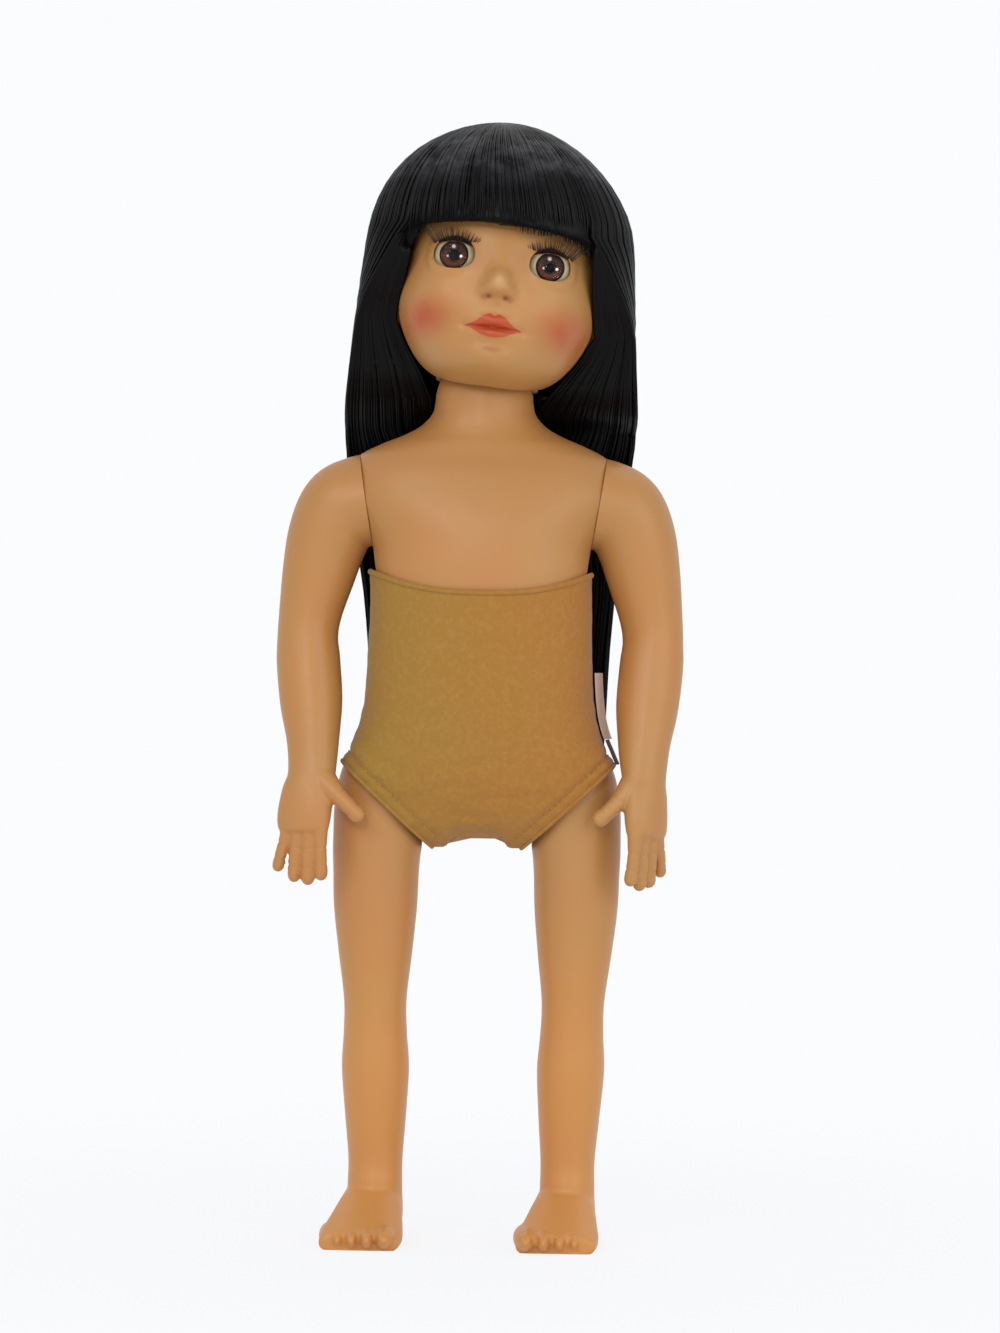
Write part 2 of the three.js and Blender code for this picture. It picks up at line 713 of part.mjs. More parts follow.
function makePlate() {
  const dome = ballShell(0, neckDomeRadius, 0, 90, 18, 5).translate(...neckPivot.toArray());
  let plate = solid(grooved(0, 11, 20)).add(solid(dome));
  const domeHollow = ballShell(0, domeInner, 0, 90, 18, 5).translate(...neckPivot.toArray());
  const hollow = solid(plateLoft(vinylWall, 7, 14, alongNeck(neckFoot))).add(solid(domeHollow));
  const throat = disc(domeInner, alongNeck(0.425), neckPivotHeight + restGap, 14);
  sides.forEach(({ sign }) => {
    const { out, centre } = shoulderFrame(sign);
    const beyond = placed(disc(shoulderSeatRadius, 0, 30, 18), aimed(out, centre));
    plate = plate.subtract(solid(beyond));
  });
  const endInset = sides.reduce((body, { sign }) => {
    const { out, centre } = shoulderFrame(sign);
    const wallPoint = centre.clone().addScaledVector(out, -vinylWall);
    return body.trimByPlane(out.clone().negate().toArray(), -out.dot(wallPoint));
  }, hollow);
  plate = plate.subtract(endInset).subtract(solid(throat.translate(0, neckDepth, 0)));
  plate = plate.subtract(solid(flangePrism(vinylWall, -5, 3, 14)));
  const domeHole = disc(domeHoleRadius, 0, 30, 14).translate(...neckPivot.toArray());
  plate = plate.subtract(solid(domeHole));
  sides.forEach(({ sign }) => {
    const { out, centre } = shoulderFrame(sign);
    plate = plate.subtract(solid(placed(disc(socketRadius, -8, 8, 14), aimed(out, centre))));
  });
  return geometryOf(mainBody(plate));
}

// A straight length of the flange section, between two distances above the plate's lower edge.
function flangePrism(inset, from, to, around) {
  return loft([from, to].map((rise) => flangeOutline(inset, around, plateBottomHeight + rise)));
}

add('shoulder_plate', makePlate(), skinPaint, { roughness: 0.5 });

function makeBodyTie() {
  const from = chestGrooveHeight - chestGrooveWidth / 2 + restGap - plateBottomHeight;
  const to = from + chestGrooveWidth - 2 * restGap;
  const inner = flangePrism(chestGrooveDepth - restGap, from - 1, to + 1, 20);
  return solid(flangePrism(0, from, to, 20)).subtract(solid(inner));
}

add('body_tie', geometryOf(makeBodyTie()), 0xf0eee6, { roughness: 0.4 });

// Cloth body: the whole outer form, then its skin, cut into trunk and leg casings.
const hipRise = 45;

// A height at a share of the way from the top of the hips to the cloth's upper edge.
function alongTrunk(share) {
  const hipTop = crotchHeight + hipRise;
  return hipTop + share * (clothEdgeHeight - hipTop);
}

const clothStations = [
  { z: crotchHeight - 7, halfWidth: hipHalfWidth - 18, front: 8, back: 8 },
  { z: crotchHeight - 2, halfWidth: hipHalfWidth - 6, front: 15, back: 15 },
  { z: crotchHeight + 6, halfWidth: hipHalfWidth - 1, front: 21.5, back: 21.5 },
  { z: crotchHeight + 15, halfWidth: hipHalfWidth, front: 27, back: 27.5 },
  { z: crotchHeight + 25, halfWidth: hipHalfWidth - 0.5, front: 32, back: 32 },
  { z: crotchHeight + 35, halfWidth: hipHalfWidth - 4.5, front: 34.5, back: 34 },
  { z: crotchHeight + hipRise, halfWidth: 49.4, front: 35.6, back: 33.6 },
  { z: alongTrunk(0.2), halfWidth: 47.3, front: 36, back: 32.4 },
  { z: alongTrunk(0.51), halfWidth: 46.2, front: 35.8, back: 31 },
  { z: alongTrunk(0.78), halfWidth: 45.6, front: 35.2, back: 30.6 },
  { z: clothEdgeHeight, halfWidth: 45.6, front: 34.8, back: 31.2 },
];
const clothFullness = 2.5;

function clothForm(inset, rows, around, extra = 0) {
  return loft(blendStations(clothStations, rows).map((station) => {
    const raised = THREE.MathUtils.smoothstep(
      station.z,
      clothEdgeHeight - clothEdgeSpan,
      clothEdgeHeight,
    );
    const row = outline({
      centre: new THREE.Vector3(0, 0, station.z + extra * raised),
      across: axisX,
      along: axisY,
      halfWidth: station.halfWidth - inset,
      front: station.front - inset,
      back: station.back - inset,
      fullness: clothFullness,
      sides: around,
    });
    row.forEach((point, i) => {
      point.z += raised * clothEdgeRise * Math.cos(4 * Math.PI * i / around);
    });
    return row;
  }));
}

const slope = THREE.MathUtils.degToRad(hipSlope);

function hipFrame(sign) {
  const inward = new THREE.Vector3(-sign * Math.sin(slope), 0, Math.cos(slope));
  const centre = new THREE.Vector3(sign * legOpeningAcross, 0, legOpeningHeight);
  return { inward, centre };
}

// Keeps what lies above a leg-opening plane that is raised by an offset.
function aboveHip(body, sign, offset) {
  const { inward, centre } = hipFrame(sign);
  return body.trimByPlane(inward.toArray(), inward.dot(centre) + offset);
}

function belowHip(body, sign, offset) {
  const { inward, centre } = hipFrame(sign);
  return body.trimByPlane(inward.clone().negate().toArray(), -inward.dot(centre) - offset);
}

const clothRows = 10;
const clothSides = 20;

function clothSkin() {
  const outer = solid(clothForm(0, clothRows, clothSides));
  const inner = solid(clothForm(clothWall, clothRows, clothSides, 6));
  return outer.subtract(inner.trimByPlane([0, 0, 1], crotchHeight - 3 + clothWall));
}

function makeTrunkCloth() {
  let body = clothSkin();
  sides.forEach(({ sign }) => {
    body = aboveHip(body, sign, gussetHeight);
  });
  return geometryOf(mainBody(body));
}

function makeHipCloth(sign) {
  let body = belowHip(aboveHip(clothSkin(), sign, 0), sign, gussetHeight - restGap);
  body = body.trimByPlane([sign, 0, 0], restGap / 2);
  return geometryOf(mainBody(body));
}

add('cloth_body', makeTrunkCloth(), clothPaint, { roughness: 0.9 });
sides.forEach(({ name, sign }) => {
  add(`${name}_leg_casing`, makeHipCloth(sign), clothPaint, { roughness: 0.9 });
});

const grooveTop = grooveOffset + grooveWidth;
const legTopOffset = grooveTop + flangeThickness + restGap + hipDiscThickness;

function makeStuffing() {
  const inset = clothWall + restGap;
  const room = solid(clothForm(inset, clothRows, clothSides));
  let body = room.trimByPlane([0, 0, -1], -(plateBottomHeight - restGap));
  body = body.trimByPlane([0, 0, 1], crotchHeight + inset);
  sides.forEach(({ sign }) => {
    body = aboveHip(body, sign, gussetHeight + stuffingLift);
  });
  const core = solid(plateLoft(vinylWall + 3 * restGap, 3, 14, shoulderHeight - 10));
  const coreTop = shoulderHeight - plugFlangeRadius - 2;
  const column = sides.reduce((part, { sign }) => {
    const { out, centre } = shoulderFrame(sign);
    const wallPoint = centre.clone().addScaledVector(out, -vinylWall - restGap);
    return part.trimByPlane(out.clone().negate().toArray(), -out.dot(wallPoint));
  }, core.trimByPlane([0, 0, -1], -coreTop));
  const foot = solid(flangePrism(vinylWall + restGap, -2, 2, 14));
  return geometryOf(mainBody(body.add(column).add(foot)));
}

add('torso_stuffing', makeStuffing(), 0xefece2, { roughness: 1 });

// Arms
const palmHeight = crotchHeight + 0.5;
const palmFront = -21.6;
const palmAcross = { left: hipHalfWidth + 10.6, right: hipHalfWidth + 12.2 };
const handTurns = { left: -48, right: -16 };

// A height at a share of the way from the shoulder's pivot down to the palm.
function alongArm(share) {
  return shoulderHeight - share * (shoulderHeight - palmHeight);
}

const elbow = { z: alongArm(0.4145), x: shoulderHalfSpan + 23, halfWidth: 12.4 };
const wrist = { z: alongArm(0.822), x: hipHalfWidth + 9.3, halfWidth: 9.8 };

function armStations(name) {
  const lean = Math.tan(slant);
  const start = shoulderHalfSpan - 6;
  const across = palmAcross[name];
  return [
    { x: start, y: 0, z: shoulderHeight + 6 * lean, halfWidth: armEndRadius, halfDepth: 18.2, twist: 0 },
    {
      x: shoulderHalfSpan + 3,
      y: 0,
      z: shoulderHeight - 0.6,
      halfWidth: armEndRadius,
      halfDepth: 18.2,
      twist: 0,
    },
    { x: shoulderHalfSpan + 10.1, y: 0, z: shoulderHeight - 5, halfWidth: 17.7, halfDepth: 17.8, twist: 0 },
    { x: shoulderHalfSpan + 15.3, y: 0, z: alongArm(0.1165), halfWidth: 16.7, halfDepth: 17, twist: 0 },
    { x: shoulderHalfSpan + 19.2, y: 0, z: alongArm(0.2325), halfWidth: 14.9, halfDepth: 15.4, twist: 0 },
    { x: shoulderHalfSpan + 22.1, y: -0.5, z: alongArm(0.342), halfWidth: 12.9, halfDepth: 13.4, twist: 0 },
    { x: elbow.x, y: -1.5, z: elbow.z, halfWidth: elbow.halfWidth, halfDepth: 12.8, twist: 0 },
    { x: shoulderHalfSpan + 22.5, y: -3, z: alongArm(0.4875), halfWidth: 13, halfDepth: 12.8, twist: 0 },
    { x: hipHalfWidth + 10.4, y: -7, z: alongArm(0.611), halfWidth: 12.7, halfDepth: 12, twist: 0.1 },
    { x: hipHalfWidth + 9.2, y: -12, z: alongArm(0.7275), halfWidth: 10.6, halfDepth: 10, twist: 0.5 },
    { x: wrist.x, y: -16.5, z: wrist.z, halfWidth: wrist.halfWidth, halfDepth: 7.8, twist: 0.9 },
    {
      x: (wrist.x + across) / 2,
      y: -19,
      z: alongArm(0.88),
      halfWidth: 10.8,
      halfDepth: 7,
      twist: 1,
    },
    { x: across - 0.3, y: -20.6, z: alongArm(0.9455), halfWidth: 11.2, halfDepth: 6.2, twist: 1 },
    { x: across, y: palmFront, z: palmHeight, halfWidth: 10.2, halfDepth: 5, twist: 1 },
  ];
}

// Fingers from the index outwards: where each starts across the palm, and how it splays.
const fingers = [
  { across: -7.4, splay: 0, length: 18, radius: 3 },
  { across: -2.5, splay: 0.8, length: 20, radius: 3.1 },
  { across: 2.4, splay: 1.8, length: 19, radius: 3 },
  { across: 7, splay: 4.5, length: 15, radius: 2.7 },
];

function digit(points, radius) {
  const stations = points.map((point, i) => ({
    x: point.x,
    y: point.y,
    z: point.z,
    halfWidth: radius * [0.9, 1, 0.95, 0.84, 0.4][i],
    halfDepth: radius * [0.9, 1, 0.95, 0.84, 0.4][i],
  }));
  return bentLoft(stations, 4, 6);
}

function finger({ across, splay, length, radius }, palmEnd, turn) {
  const angle = THREE.MathUtils.degToRad(turn);
  const sideAxis = new THREE.Vector3(Math.cos(angle), -Math.sin(angle), 0);
  const curlAxis = new THREE.Vector3(Math.sin(angle), Math.cos(angle), 0);
  const root = palmEnd.clone().addScaledVector(sideAxis, across);
  const points = [-0.35, 0, 0.4, 0.75, 1].map((share) => root.clone()
    .addScaledVector(sideAxis, splay * Math.max(share, 0))
    .addScaledVector(curlAxis, 2.4 * share * share)
    .add(new THREE.Vector3(0, 0, -length * share)));
  return digit(points, radius);
}

// The thumb's middle line: across from the palm, out along Y, and up from the palm's height.
const thumbPoints = {
  left: [[-5.6, -19, 21.5], [-10.2, -22.5, 17.7], [-14.6, -24.8, 13.7], [-18.6, -26, 10.1],
    [-21.6, -26.6, 7.3]],
  right: [[-7.8, -17, 21.5], [-12.8, -21.6, 17.7], [-17.6, -24.4, 13.7], [-21.6, -25.8, 10.1],
    [-24.6, -26.4, 7.3]],
};

function makeArm(name, sign) {
  const turn = handTurns[name];
  const palmEnd = new THREE.Vector3(palmAcross[name], palmFront, palmHeight + 0.5);
  let arm = solid(bentLoft(armStations(name), 15, 10, 0, turn));
  fingers.forEach((one) => {
    arm = arm.add(solid(finger(one, palmEnd, turn)));
  });
  const thumb = thumbPoints[name].map(([across, front, rise]) => (
    new THREE.Vector3(palmAcross[name] + across, front, palmHeight + rise)
  ));
  arm = arm.add(solid(digit(thumb, 3.7)));
  const { out, centre } = shoulderFrame(1);
  const face = centre.clone().addScaledVector(out, jointGap);
  arm = arm.trimByPlane(out.toArray(), out.dot(face));
  const hollow = solid(bentLoft(armStations(name).slice(0, 11), 6, 8, vinylWall, turn));
  const cavity = hollow.trimByPlane(out.toArray(), out.dot(face) + vinylWall);
  arm = arm.subtract(cavity);
  arm = arm.subtract(solid(placed(disc(socketRadius, -1, 10, 14), aimed(out, face))));
  return mirrored(geometryOf(mainBody(arm)), sign);
}

function makePlug(sign) {
  const inner = -vinylWall - restGap;
  const outer = jointGap + vinylWall + restGap;
  const stem = solid(disc(plugStemRadius, inner - 0.5, outer + 0.5));
  const innerFlange = disc(plugFlangeRadius, inner - plugFlangeThickness, inner);
  const outerFlange = disc(plugFlangeRadius, outer, outer + plugFlangeThickness);
  const bore = disc(plugStemRadius - 2.5, inner - 4, outer + 4, 12);
  const plug = stem.add(solid(innerFlange)).add(solid(outerFlange)).subtract(solid(bore));
  const { out, centre } = shoulderFrame(sign);
  return placed(geometryOf(plug), aimed(out, centre));
}

sides.forEach(({ name, sign }) => {
  add(`${name}_arm`, makeArm(name, sign), skinPaint, { roughness: 0.5 });
  add(`${name}_arm_plug`, makePlug(sign), 0xe6e2d8);
});

// Legs
const toeDrift = -6;
const heelBack = 22;
const toeFront = -40;
const ankle = { z: 33, x: 39.5, y: 7.5, halfWidth: 11.2, halfDepth: 12.5 };

// A height at a share of the way from the ankle up to the crotch.
function alongLeg(share) {
  return ankle.z + share * (crotchHeight - ankle.z);
}

function legStations() {
  const thigh = legOpeningAcross + 4;
  return [
    { x: ankle.x, y: 6, z: 12, halfWidth: 11.6, halfDepth: 13.5 },
    { x: ankle.x, y: 7, z: 23, halfWidth: 11.2, halfDepth: 13 },
    { x: ankle.x, y: ankle.y, z: ankle.z, halfWidth: ankle.halfWidth, halfDepth: ankle.halfDepth },
    { x: 39.7, y: 5.5, z: alongLeg(0.136), halfWidth: 12.6, halfDepth: 14.2 },
    { x: 40, y: 3, z: alongLeg(0.28), halfWidth: 13.8, halfDepth: 15.6 },
    { x: 40.2, y: 1, z: alongLeg(0.386), halfWidth: 13, halfDepth: 14.6 },
    { x: 40.4, y: -1, z: alongLeg(0.492), halfWidth: 12.8, halfDepth: 14 },
    { x: 40.7, y: -1, z: alongLeg(0.636), halfWidth: 15, halfDepth: 15.6 },
    { x: thigh, y: -0.5, z: alongLeg(0.78), halfWidth: 17, halfDepth: 17 },
    { x: thigh, y: 0, z: crotchHeight - 13, halfWidth: 17.6, halfDepth: 17.8 },
  ];
}

// The leg's top bends into the slanted opening. Each row is placed past that plane and along it.
const hipRows = [
  { offset: -15.4, slide: -8.9, halfLong: 18.5, halfDeep: 18, lean: 0.35 },
  { offset: -7.9, slide: -2.8, halfLong: 20.2, halfDeep: 18.3, lean: 0.64 },
  { offset: 0, slide: 2.2, halfLong: 21.7, halfDeep: 18.2, lean: 1 },
  { offset: 3.4, slide: 0.8, halfLong: 20.5, halfDeep: 17.8, lean: 1 },
  { offset: grooveOffset - 0.8, slide: 0, halfLong: flangeRadius, halfDeep: flangeRadius - 1, lean: 1 },
];

function legForm(inset, around, levels) {
  const rows = blendStations(legStations(), levels).map((station) => outline({
    centre: new THREE.Vector3(station.x, station.y, station.z),
    across: axisX,
    along: axisY,
    halfWidth: station.halfWidth - inset,
    front: station.halfDepth - inset,
    back: station.halfDepth - inset,
    sides: around,
  }));
  const { inward, centre } = hipFrame(1);
  hipRows.forEach((row) => {
    const tilt = slope * row.lean;
    rows.push(outline({
      centre: centre.clone().addScaledVector(inward, row.offset)
        .addScaledVector(new THREE.Vector3(Math.cos(slope), 0, Math.sin(slope)), row.slide),
      across: new THREE.Vector3(Math.cos(tilt), 0, Math.sin(tilt)),
      along: axisY,
      halfWidth: row.halfLong - inset,
      front: row.halfDeep - inset,
      back: row.halfDeep - inset,
      sides: around,
    }));
  });
  return loft(rows);
}

const footStations = [
  { y: heelBack, halfWidth: 4.5, top: 10, bottom: 1 },
  { y: 19, halfWidth: 9.2, top: 17, bottom: -1 },
  { y: 10, halfWidth: 11.6, top: 25, bottom: -2 },
  { y: -3, halfWidth: 13.2, top: 22, bottom: -2 },
  { y: -15, halfWidth: 15.2, top: 16.5, bottom: -2 },
  { y: -25, halfWidth: 16.6, top: 12.6, bottom: -2 },
  { y: -32, halfWidth: 16, top: 9.8, bottom: -2 },
];

function driftAt(y) {
  return toeDrift * THREE.MathUtils.clamp((10 - y) / (10 - toeFront), 0, 1);
}

function footForm(sign) {
  return loft(blendStations(footStations, 6).map((station) => outline({
    centre: new THREE.Vector3(
      ankle.x + sign * driftAt(station.y),
      station.y,
      (station.top + station.bottom) / 2,
    ),
    across: axisX,
    along: axisZ,
    halfWidth: station.halfWidth,
    front: (station.top - station.bottom) / 2,
    back: (station.top - station.bottom) / 2,
    fullness: 2.6,
    sides: 12,
  })));
}

// Toes from the big one outwards.
const toes = [
  { across: -11.4, tip: 0, radius: 4.7, height: 4.4 },
  { across: -3.9, tip: 0.6, radius: 3.5, height: 3.8 },
  { across: 2.4, tip: 1.8, radius: 3.3, height: 3.6 },
  { across: 8.2, tip: 3.6, radius: 3.1, height: 3.4 },
  { across: 13.2, tip: 6.4, radius: 2.9, height: 3.2 },
];

function toe({ across, tip, radius, height }, sign) {
  const front = toeFront + tip;
  const reach = 8.5;
  return ball(1, 6, 4)
    .scale(radius, reach, height + 0.6)
    .translate(ankle.x + across + sign * driftAt(front), front + reach, height);
}

function makeLeg(sign) {
  const { inward, centre } = hipFrame(1);
  let leg = solid(legForm(0, 12, 9)).add(solid(footForm(sign)));
  toes.forEach((one) => {
    leg = leg.add(solid(toe(one, sign)));
  });
  const neck = disc(grooveFloorRadius, grooveOffset - 1.5, grooveTop + 0.5, 14);
  const flange = disc(flangeRadius, grooveTop, grooveTop + flangeThickness, 16);
  leg = leg.add(solid(placed(neck, aimed(inward, centre))));
  leg = leg.add(solid(placed(flange, aimed(inward, centre))));
  leg = leg.trimByPlane([0, 0, 1], 0);
  const hollow = solid(legForm(vinylWall, 8, 5)).trimByPlane([0, 0, 1], ankle.z - 8);
  const mouth = disc(grooveFloorRadius - vinylWall, -3, legTopOffset + 3, 14);
  leg = leg.subtract(hollow).subtract(solid(placed(mouth, aimed(inward, centre))));
  return mirrored(geometryOf(mainBody(leg)), sign);
}

function makeLegTie(sign) {
  const profile = [];
  const middle = grooveOffset + grooveWidth / 2;
  const wallRadius = grooveFloorRadius + restGap + tieRadius;
  for (let i = 0; i <= 6; i += 1) {
    const angle = 2 * Math.PI * i / 6;
    profile.push([wallRadius + tieRadius * Math.cos(angle), middle + tieRadius * Math.sin(angle)]);
  }
  const { inward, centre } = hipFrame(sign);
  return placed(turned(profile, 16), aimed(inward, centre));
}

function makeHipDisc(sign) {
  const seat = grooveTop + flangeThickness + restGap;
  const cap = solid(disc(flangeRadius - 1, seat, seat + hipDiscThickness));
  const spigot = solid(ring(
    grooveFloorRadius - vinylWall - restGap - 1.6,
    grooveFloorRadius - vinylWall - restGap,
    seat - 6,
    seat + 0.5,
    14,
  ));
  const { inward, centre } = hipFrame(sign);
  return placed(geometryOf(cap.add(spigot)), aimed(inward, centre));
}

sides.forEach(({ name, sign }) => {
  add(`${name}_leg`, makeLeg(sign), skinPaint, { roughness: 0.5 });
  add(`${name}_leg_tie`, makeLegTie(sign), 0xf0eee6, { roughness: 0.4 });
  add(`${name}_hip_disc`, makeHipDisc(sign), 0xe6e2d8);
});

// Blank side labels, sewn into the left seam of the cloth
const labelTop = crotchHeight + 68;

function clothReach(height) {
  const rows = blendStations(clothStations, 4 * clothRows);
  const above = rows.findIndex((row) => row.z >= height);
  const share = (height - rows[above - 1].z) / (rows[above].z - rows[above - 1].z);
  return THREE.MathUtils.lerp(rows[above - 1].halfWidth, rows[above].halfWidth, share);
}

function makeLabel(top, length) {
  const rows = [0, 0.33, 0.67, 1].map((share) => {
    const height = top - length * share;
    const x = clothReach(height) + restGap + labelThickness / 2;
    const corners = [[-1, -1], [1, -1], [1, 1], [-1, 1]];
    return corners.map(([thick, wide]) => new THREE.Vector3(
      x + thick * labelThickness / 2,
      wide * labelWidth / 2,
      height,
    ));
  });
  return loft(rows);
}

add('care_label', makeLabel(labelTop, careLabelLength), 0xe2cfc4, { roughness: 0.9 });
const sizeLabelTop = labelTop - careLabelLength - restGap;
add('size_label', makeLabel(sizeLabelTop, sizeLabelLength), 0x452c1b, { roughness: 0.9 });

// Hair: an outer form, hollowed for the head and cut open round the face.
// A height at a share of the way from the hair's hem up to the shoulder's pivot.
function alongFall(share) {
  return hairHemHeight + share * (shoulderHeight - hairHemHeight);
}

// A height at a share of the way from the eyes up to the top of the hair.
function aboveEyes(share) {
  return eyeHeight + share * (headTop + hairRise);
}

// A row round the head, sized in head half widths, fronts and backs.
function headRow(z, x, wide, front, back) {
  return { z, x, halfWidth: wide * headHalfWidth, front: front * headFront, back: back * headBack };
}

const hairStations = [
  { z: hairHemHeight, x: 3, halfWidth: 50, front: 60, back: 42 },
  { z: alongFall(0.155), x: 3, halfWidth: 51, front: 60, back: 42.5 },
  { z: alongFall(0.457), x: 2.8, halfWidth: 52, front: 60, back: 43.5 },
  { z: alongFall(0.716), x: 2.8, halfWidth: 54, front: 60, back: 45 },
  { z: shoulderHeight, x: 2.5, halfWidth: 57, front: 60, back: 47 },
  headRow(alongNeck(0.8), 2.4, 1.5, 1.5, 1.07),
  headRow(neckPivotHeight + 23, 3.4, 1.478, 1.385, 1.098),
  headRow(eyeHeight, 4.5, 1.441, 1.32, 1.11),
  headRow(aboveEyes(0.311), 5.2, 1.385, 1.27, 1.087),
  headRow(aboveEyes(0.51), 4.6, 1.272, 1.192, 1.033),
  headRow(aboveEyes(0.678), 4, 1.092, 1.038, 0.924),
  headRow(aboveEyes(0.816), 3.8, 0.856, 0.821, 0.761),
  headRow(aboveEyes(0.916), 4.2, 0.577, 0.564, 0.543),
  headRow(aboveEyes(0.977), 5, 0.282, 0.282, 0.283),
  headRow(aboveEyes(1), 5.5, 0.051, 0.051, 0.065),
];

// The hair's front edge beside the face, seen from the side in the head's frame: [y, z].
const faceEdge = [[-30, 10.2], [-26, -2], [-17, -12], [-5, -20], [1, -32], [4, -52]];
const fringeMiddle = [-70, 15.5];
// Its front edge beside the neck, the shoulders and the back, in the doll's frame: [y, z].
const edgeTop = neckPivotHeight + 13;
const edgeBottom = hairHemHeight - 37;
const bodyEdge = [
  [6, edgeTop],
  [8, neckPivotHeight + 7],
  [15, neckPivotHeight - 2],
  [27, alongNeck(0.7125)],
  [31, alongNeck(0.475)],
  [31.5, shoulderHeight - 13],
  [32, alongFall(0.647)],
  [33.6, alongFall(0.388)],
  [35.4, alongFall(0.112)],
  [35.4, edgeBottom],
];
const hairGap = restGap;
const wigCapWall = 1.1;
const wigInset = -6 * restGap;
const hairInset = wigInset - wigCapWall - restGap;
const crownCut = 24;
const fringeBack = -20;
const fallTop = neckPivotHeight - 13;
const sideBack = 12;

// Everything in front of an edge, as a prism right across the doll.
function prismBefore(edge, top, bottom) {
  const shape = new THREE.Shape();
  shape.moveTo(...top);
  edge.forEach(([y, z]) => shape.lineTo(y, z));
  shape.lineTo(...bottom);
  const prism = new THREE.ExtrudeGeometry(shape, { depth: 200, bevelEnabled: false });
  const standing = new THREE.Matrix4().makeBasis(axisY, axisZ, axisX);
  return prism.applyMatrix4(standing).translate(-100, 0, 0);
}

function headRoom(inset) {
  const room = solid(placed(headForm(inset, broadFeatures, 18, 12), headPlace));
  return sides.reduce((body, { sign }) => body.add(
    solid(placed(ear(sign, -inset), headPlace)),
  ), room);
}

// Keeps the side of a plane of the head's own frame that its normal points to.
function keepInHead(body, normal, offset) {
  const place = normal.clone().multiplyScalar(offset).applyMatrix4(headPlace);
  const worldNormal = normal.clone().transformDirection(headPlace);
  return body.trimByPlane(worldNormal.toArray(), worldNormal.dot(place));
}

function makeHair() {
  let hair = solid(standingLoft(hairStations, 16, 20, 2.15));
  const face = prismBefore(faceEdge, fringeMiddle, [-70, -52]);
  const chest = prismBefore(bodyEdge, [-70, edgeTop], [-70, edgeBottom]);
  hair = hair.subtract(solid(placed(face, headPlace))).subtract(solid(chest));
  hair = hair.subtract(headRoom(hairInset));
  const neckRoom = disc(neckDomeRadius + 6, fallTop - 2, neckPivotHeight + 27, 20);
  hair = hair.subtract(solid(neckRoom.translate(0, neckDepth, 0)));
  const half = hairGap / 2;
  const up = axisZ.clone();
  const backward = axisY.clone();
  const crown = keepInHead(hair, up, crownCut + half);
  const under = keepInHead(hair, up.clone().negate(), -crownCut + half);
  const fringe = keepInHead(under, backward.clone().negate(), -fringeBack + half);
  const behind = keepInHead(under, backward, fringeBack + half);
  const high = behind.trimByPlane([0, 0, 1], fallTop + half);
  const fall = behind.trimByPlane([0, 0, -1], -fallTop + half);
  const back = keepInHead(high, backward, sideBack + half);
  const flanks = keepInHead(high, backward.clone().negate(), -sideBack + half);
  add('hair_crown', geometryOf(mainBody(crown)), hairPaint);
  add('hair_fringe', geometryOf(mainBody(fringe)), hairPaint);
  sides.forEach(({ name, sign }) => {
    const flank = keepInHead(flanks, axisX.clone().multiplyScalar(sign), half);
    add(`hair_${name}`, geometryOf(mainBody(flank)), hairPaint);
  });
  add('hair_back', geometryOf(mainBody(back)), hairPaint);
  add('hair_fall', geometryOf(mainBody(fall)), hairPaint);
}

makeHair();

// The cap that the hair is sewn to: a thin shell over the crown, down to the nape.
function makeWigCap() {
  let cap = headRoom(wigInset - wigCapWall).subtract(headRoom(wigInset));
  const lean = THREE.MathUtils.degToRad(32);
  cap = keepInHead(cap, new THREE.Vector3(0, Math.sin(lean), Math.cos(lean)), 4);
  return geometryOf(mainBody(cap));
}

add('wig_cap', makeWigCap(), 0x161618, { roughness: 0.9 });

export default doll;
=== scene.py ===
"""Dresses the frame of a standing play doll: vinyl head and limbs, long wig, cloth body."""
import math
import random

import bmesh
import bpy
from mathutils import Matrix, Vector, noise


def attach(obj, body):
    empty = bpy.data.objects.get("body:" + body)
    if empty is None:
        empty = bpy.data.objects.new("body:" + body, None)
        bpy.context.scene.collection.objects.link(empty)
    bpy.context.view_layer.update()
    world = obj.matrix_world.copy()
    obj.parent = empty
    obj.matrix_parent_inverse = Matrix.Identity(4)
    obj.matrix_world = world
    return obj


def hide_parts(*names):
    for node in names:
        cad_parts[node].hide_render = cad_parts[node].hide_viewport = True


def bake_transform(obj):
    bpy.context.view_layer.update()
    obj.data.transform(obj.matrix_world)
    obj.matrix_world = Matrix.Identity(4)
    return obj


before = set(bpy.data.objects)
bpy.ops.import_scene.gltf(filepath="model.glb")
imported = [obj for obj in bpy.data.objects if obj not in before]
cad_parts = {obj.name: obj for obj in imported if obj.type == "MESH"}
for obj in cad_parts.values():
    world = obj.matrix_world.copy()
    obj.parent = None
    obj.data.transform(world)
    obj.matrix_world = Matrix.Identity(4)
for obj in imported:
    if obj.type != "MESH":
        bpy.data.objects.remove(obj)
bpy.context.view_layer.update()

bl_info = {
    "name": "Play Doll",
    "version": (1, 0, 0),
    "blender": (4, 5, 0),
    "location": "View3D > Sidebar > Doll",
    "description": "Builds a standing play doll with closing eyes and a long wig",
    "category": "Add Mesh",
}

# Lengths in the shape code are millimetres. keep() turns them into metres.
MM = 0.001
SIDES = (("left", 1), ("right", -1))

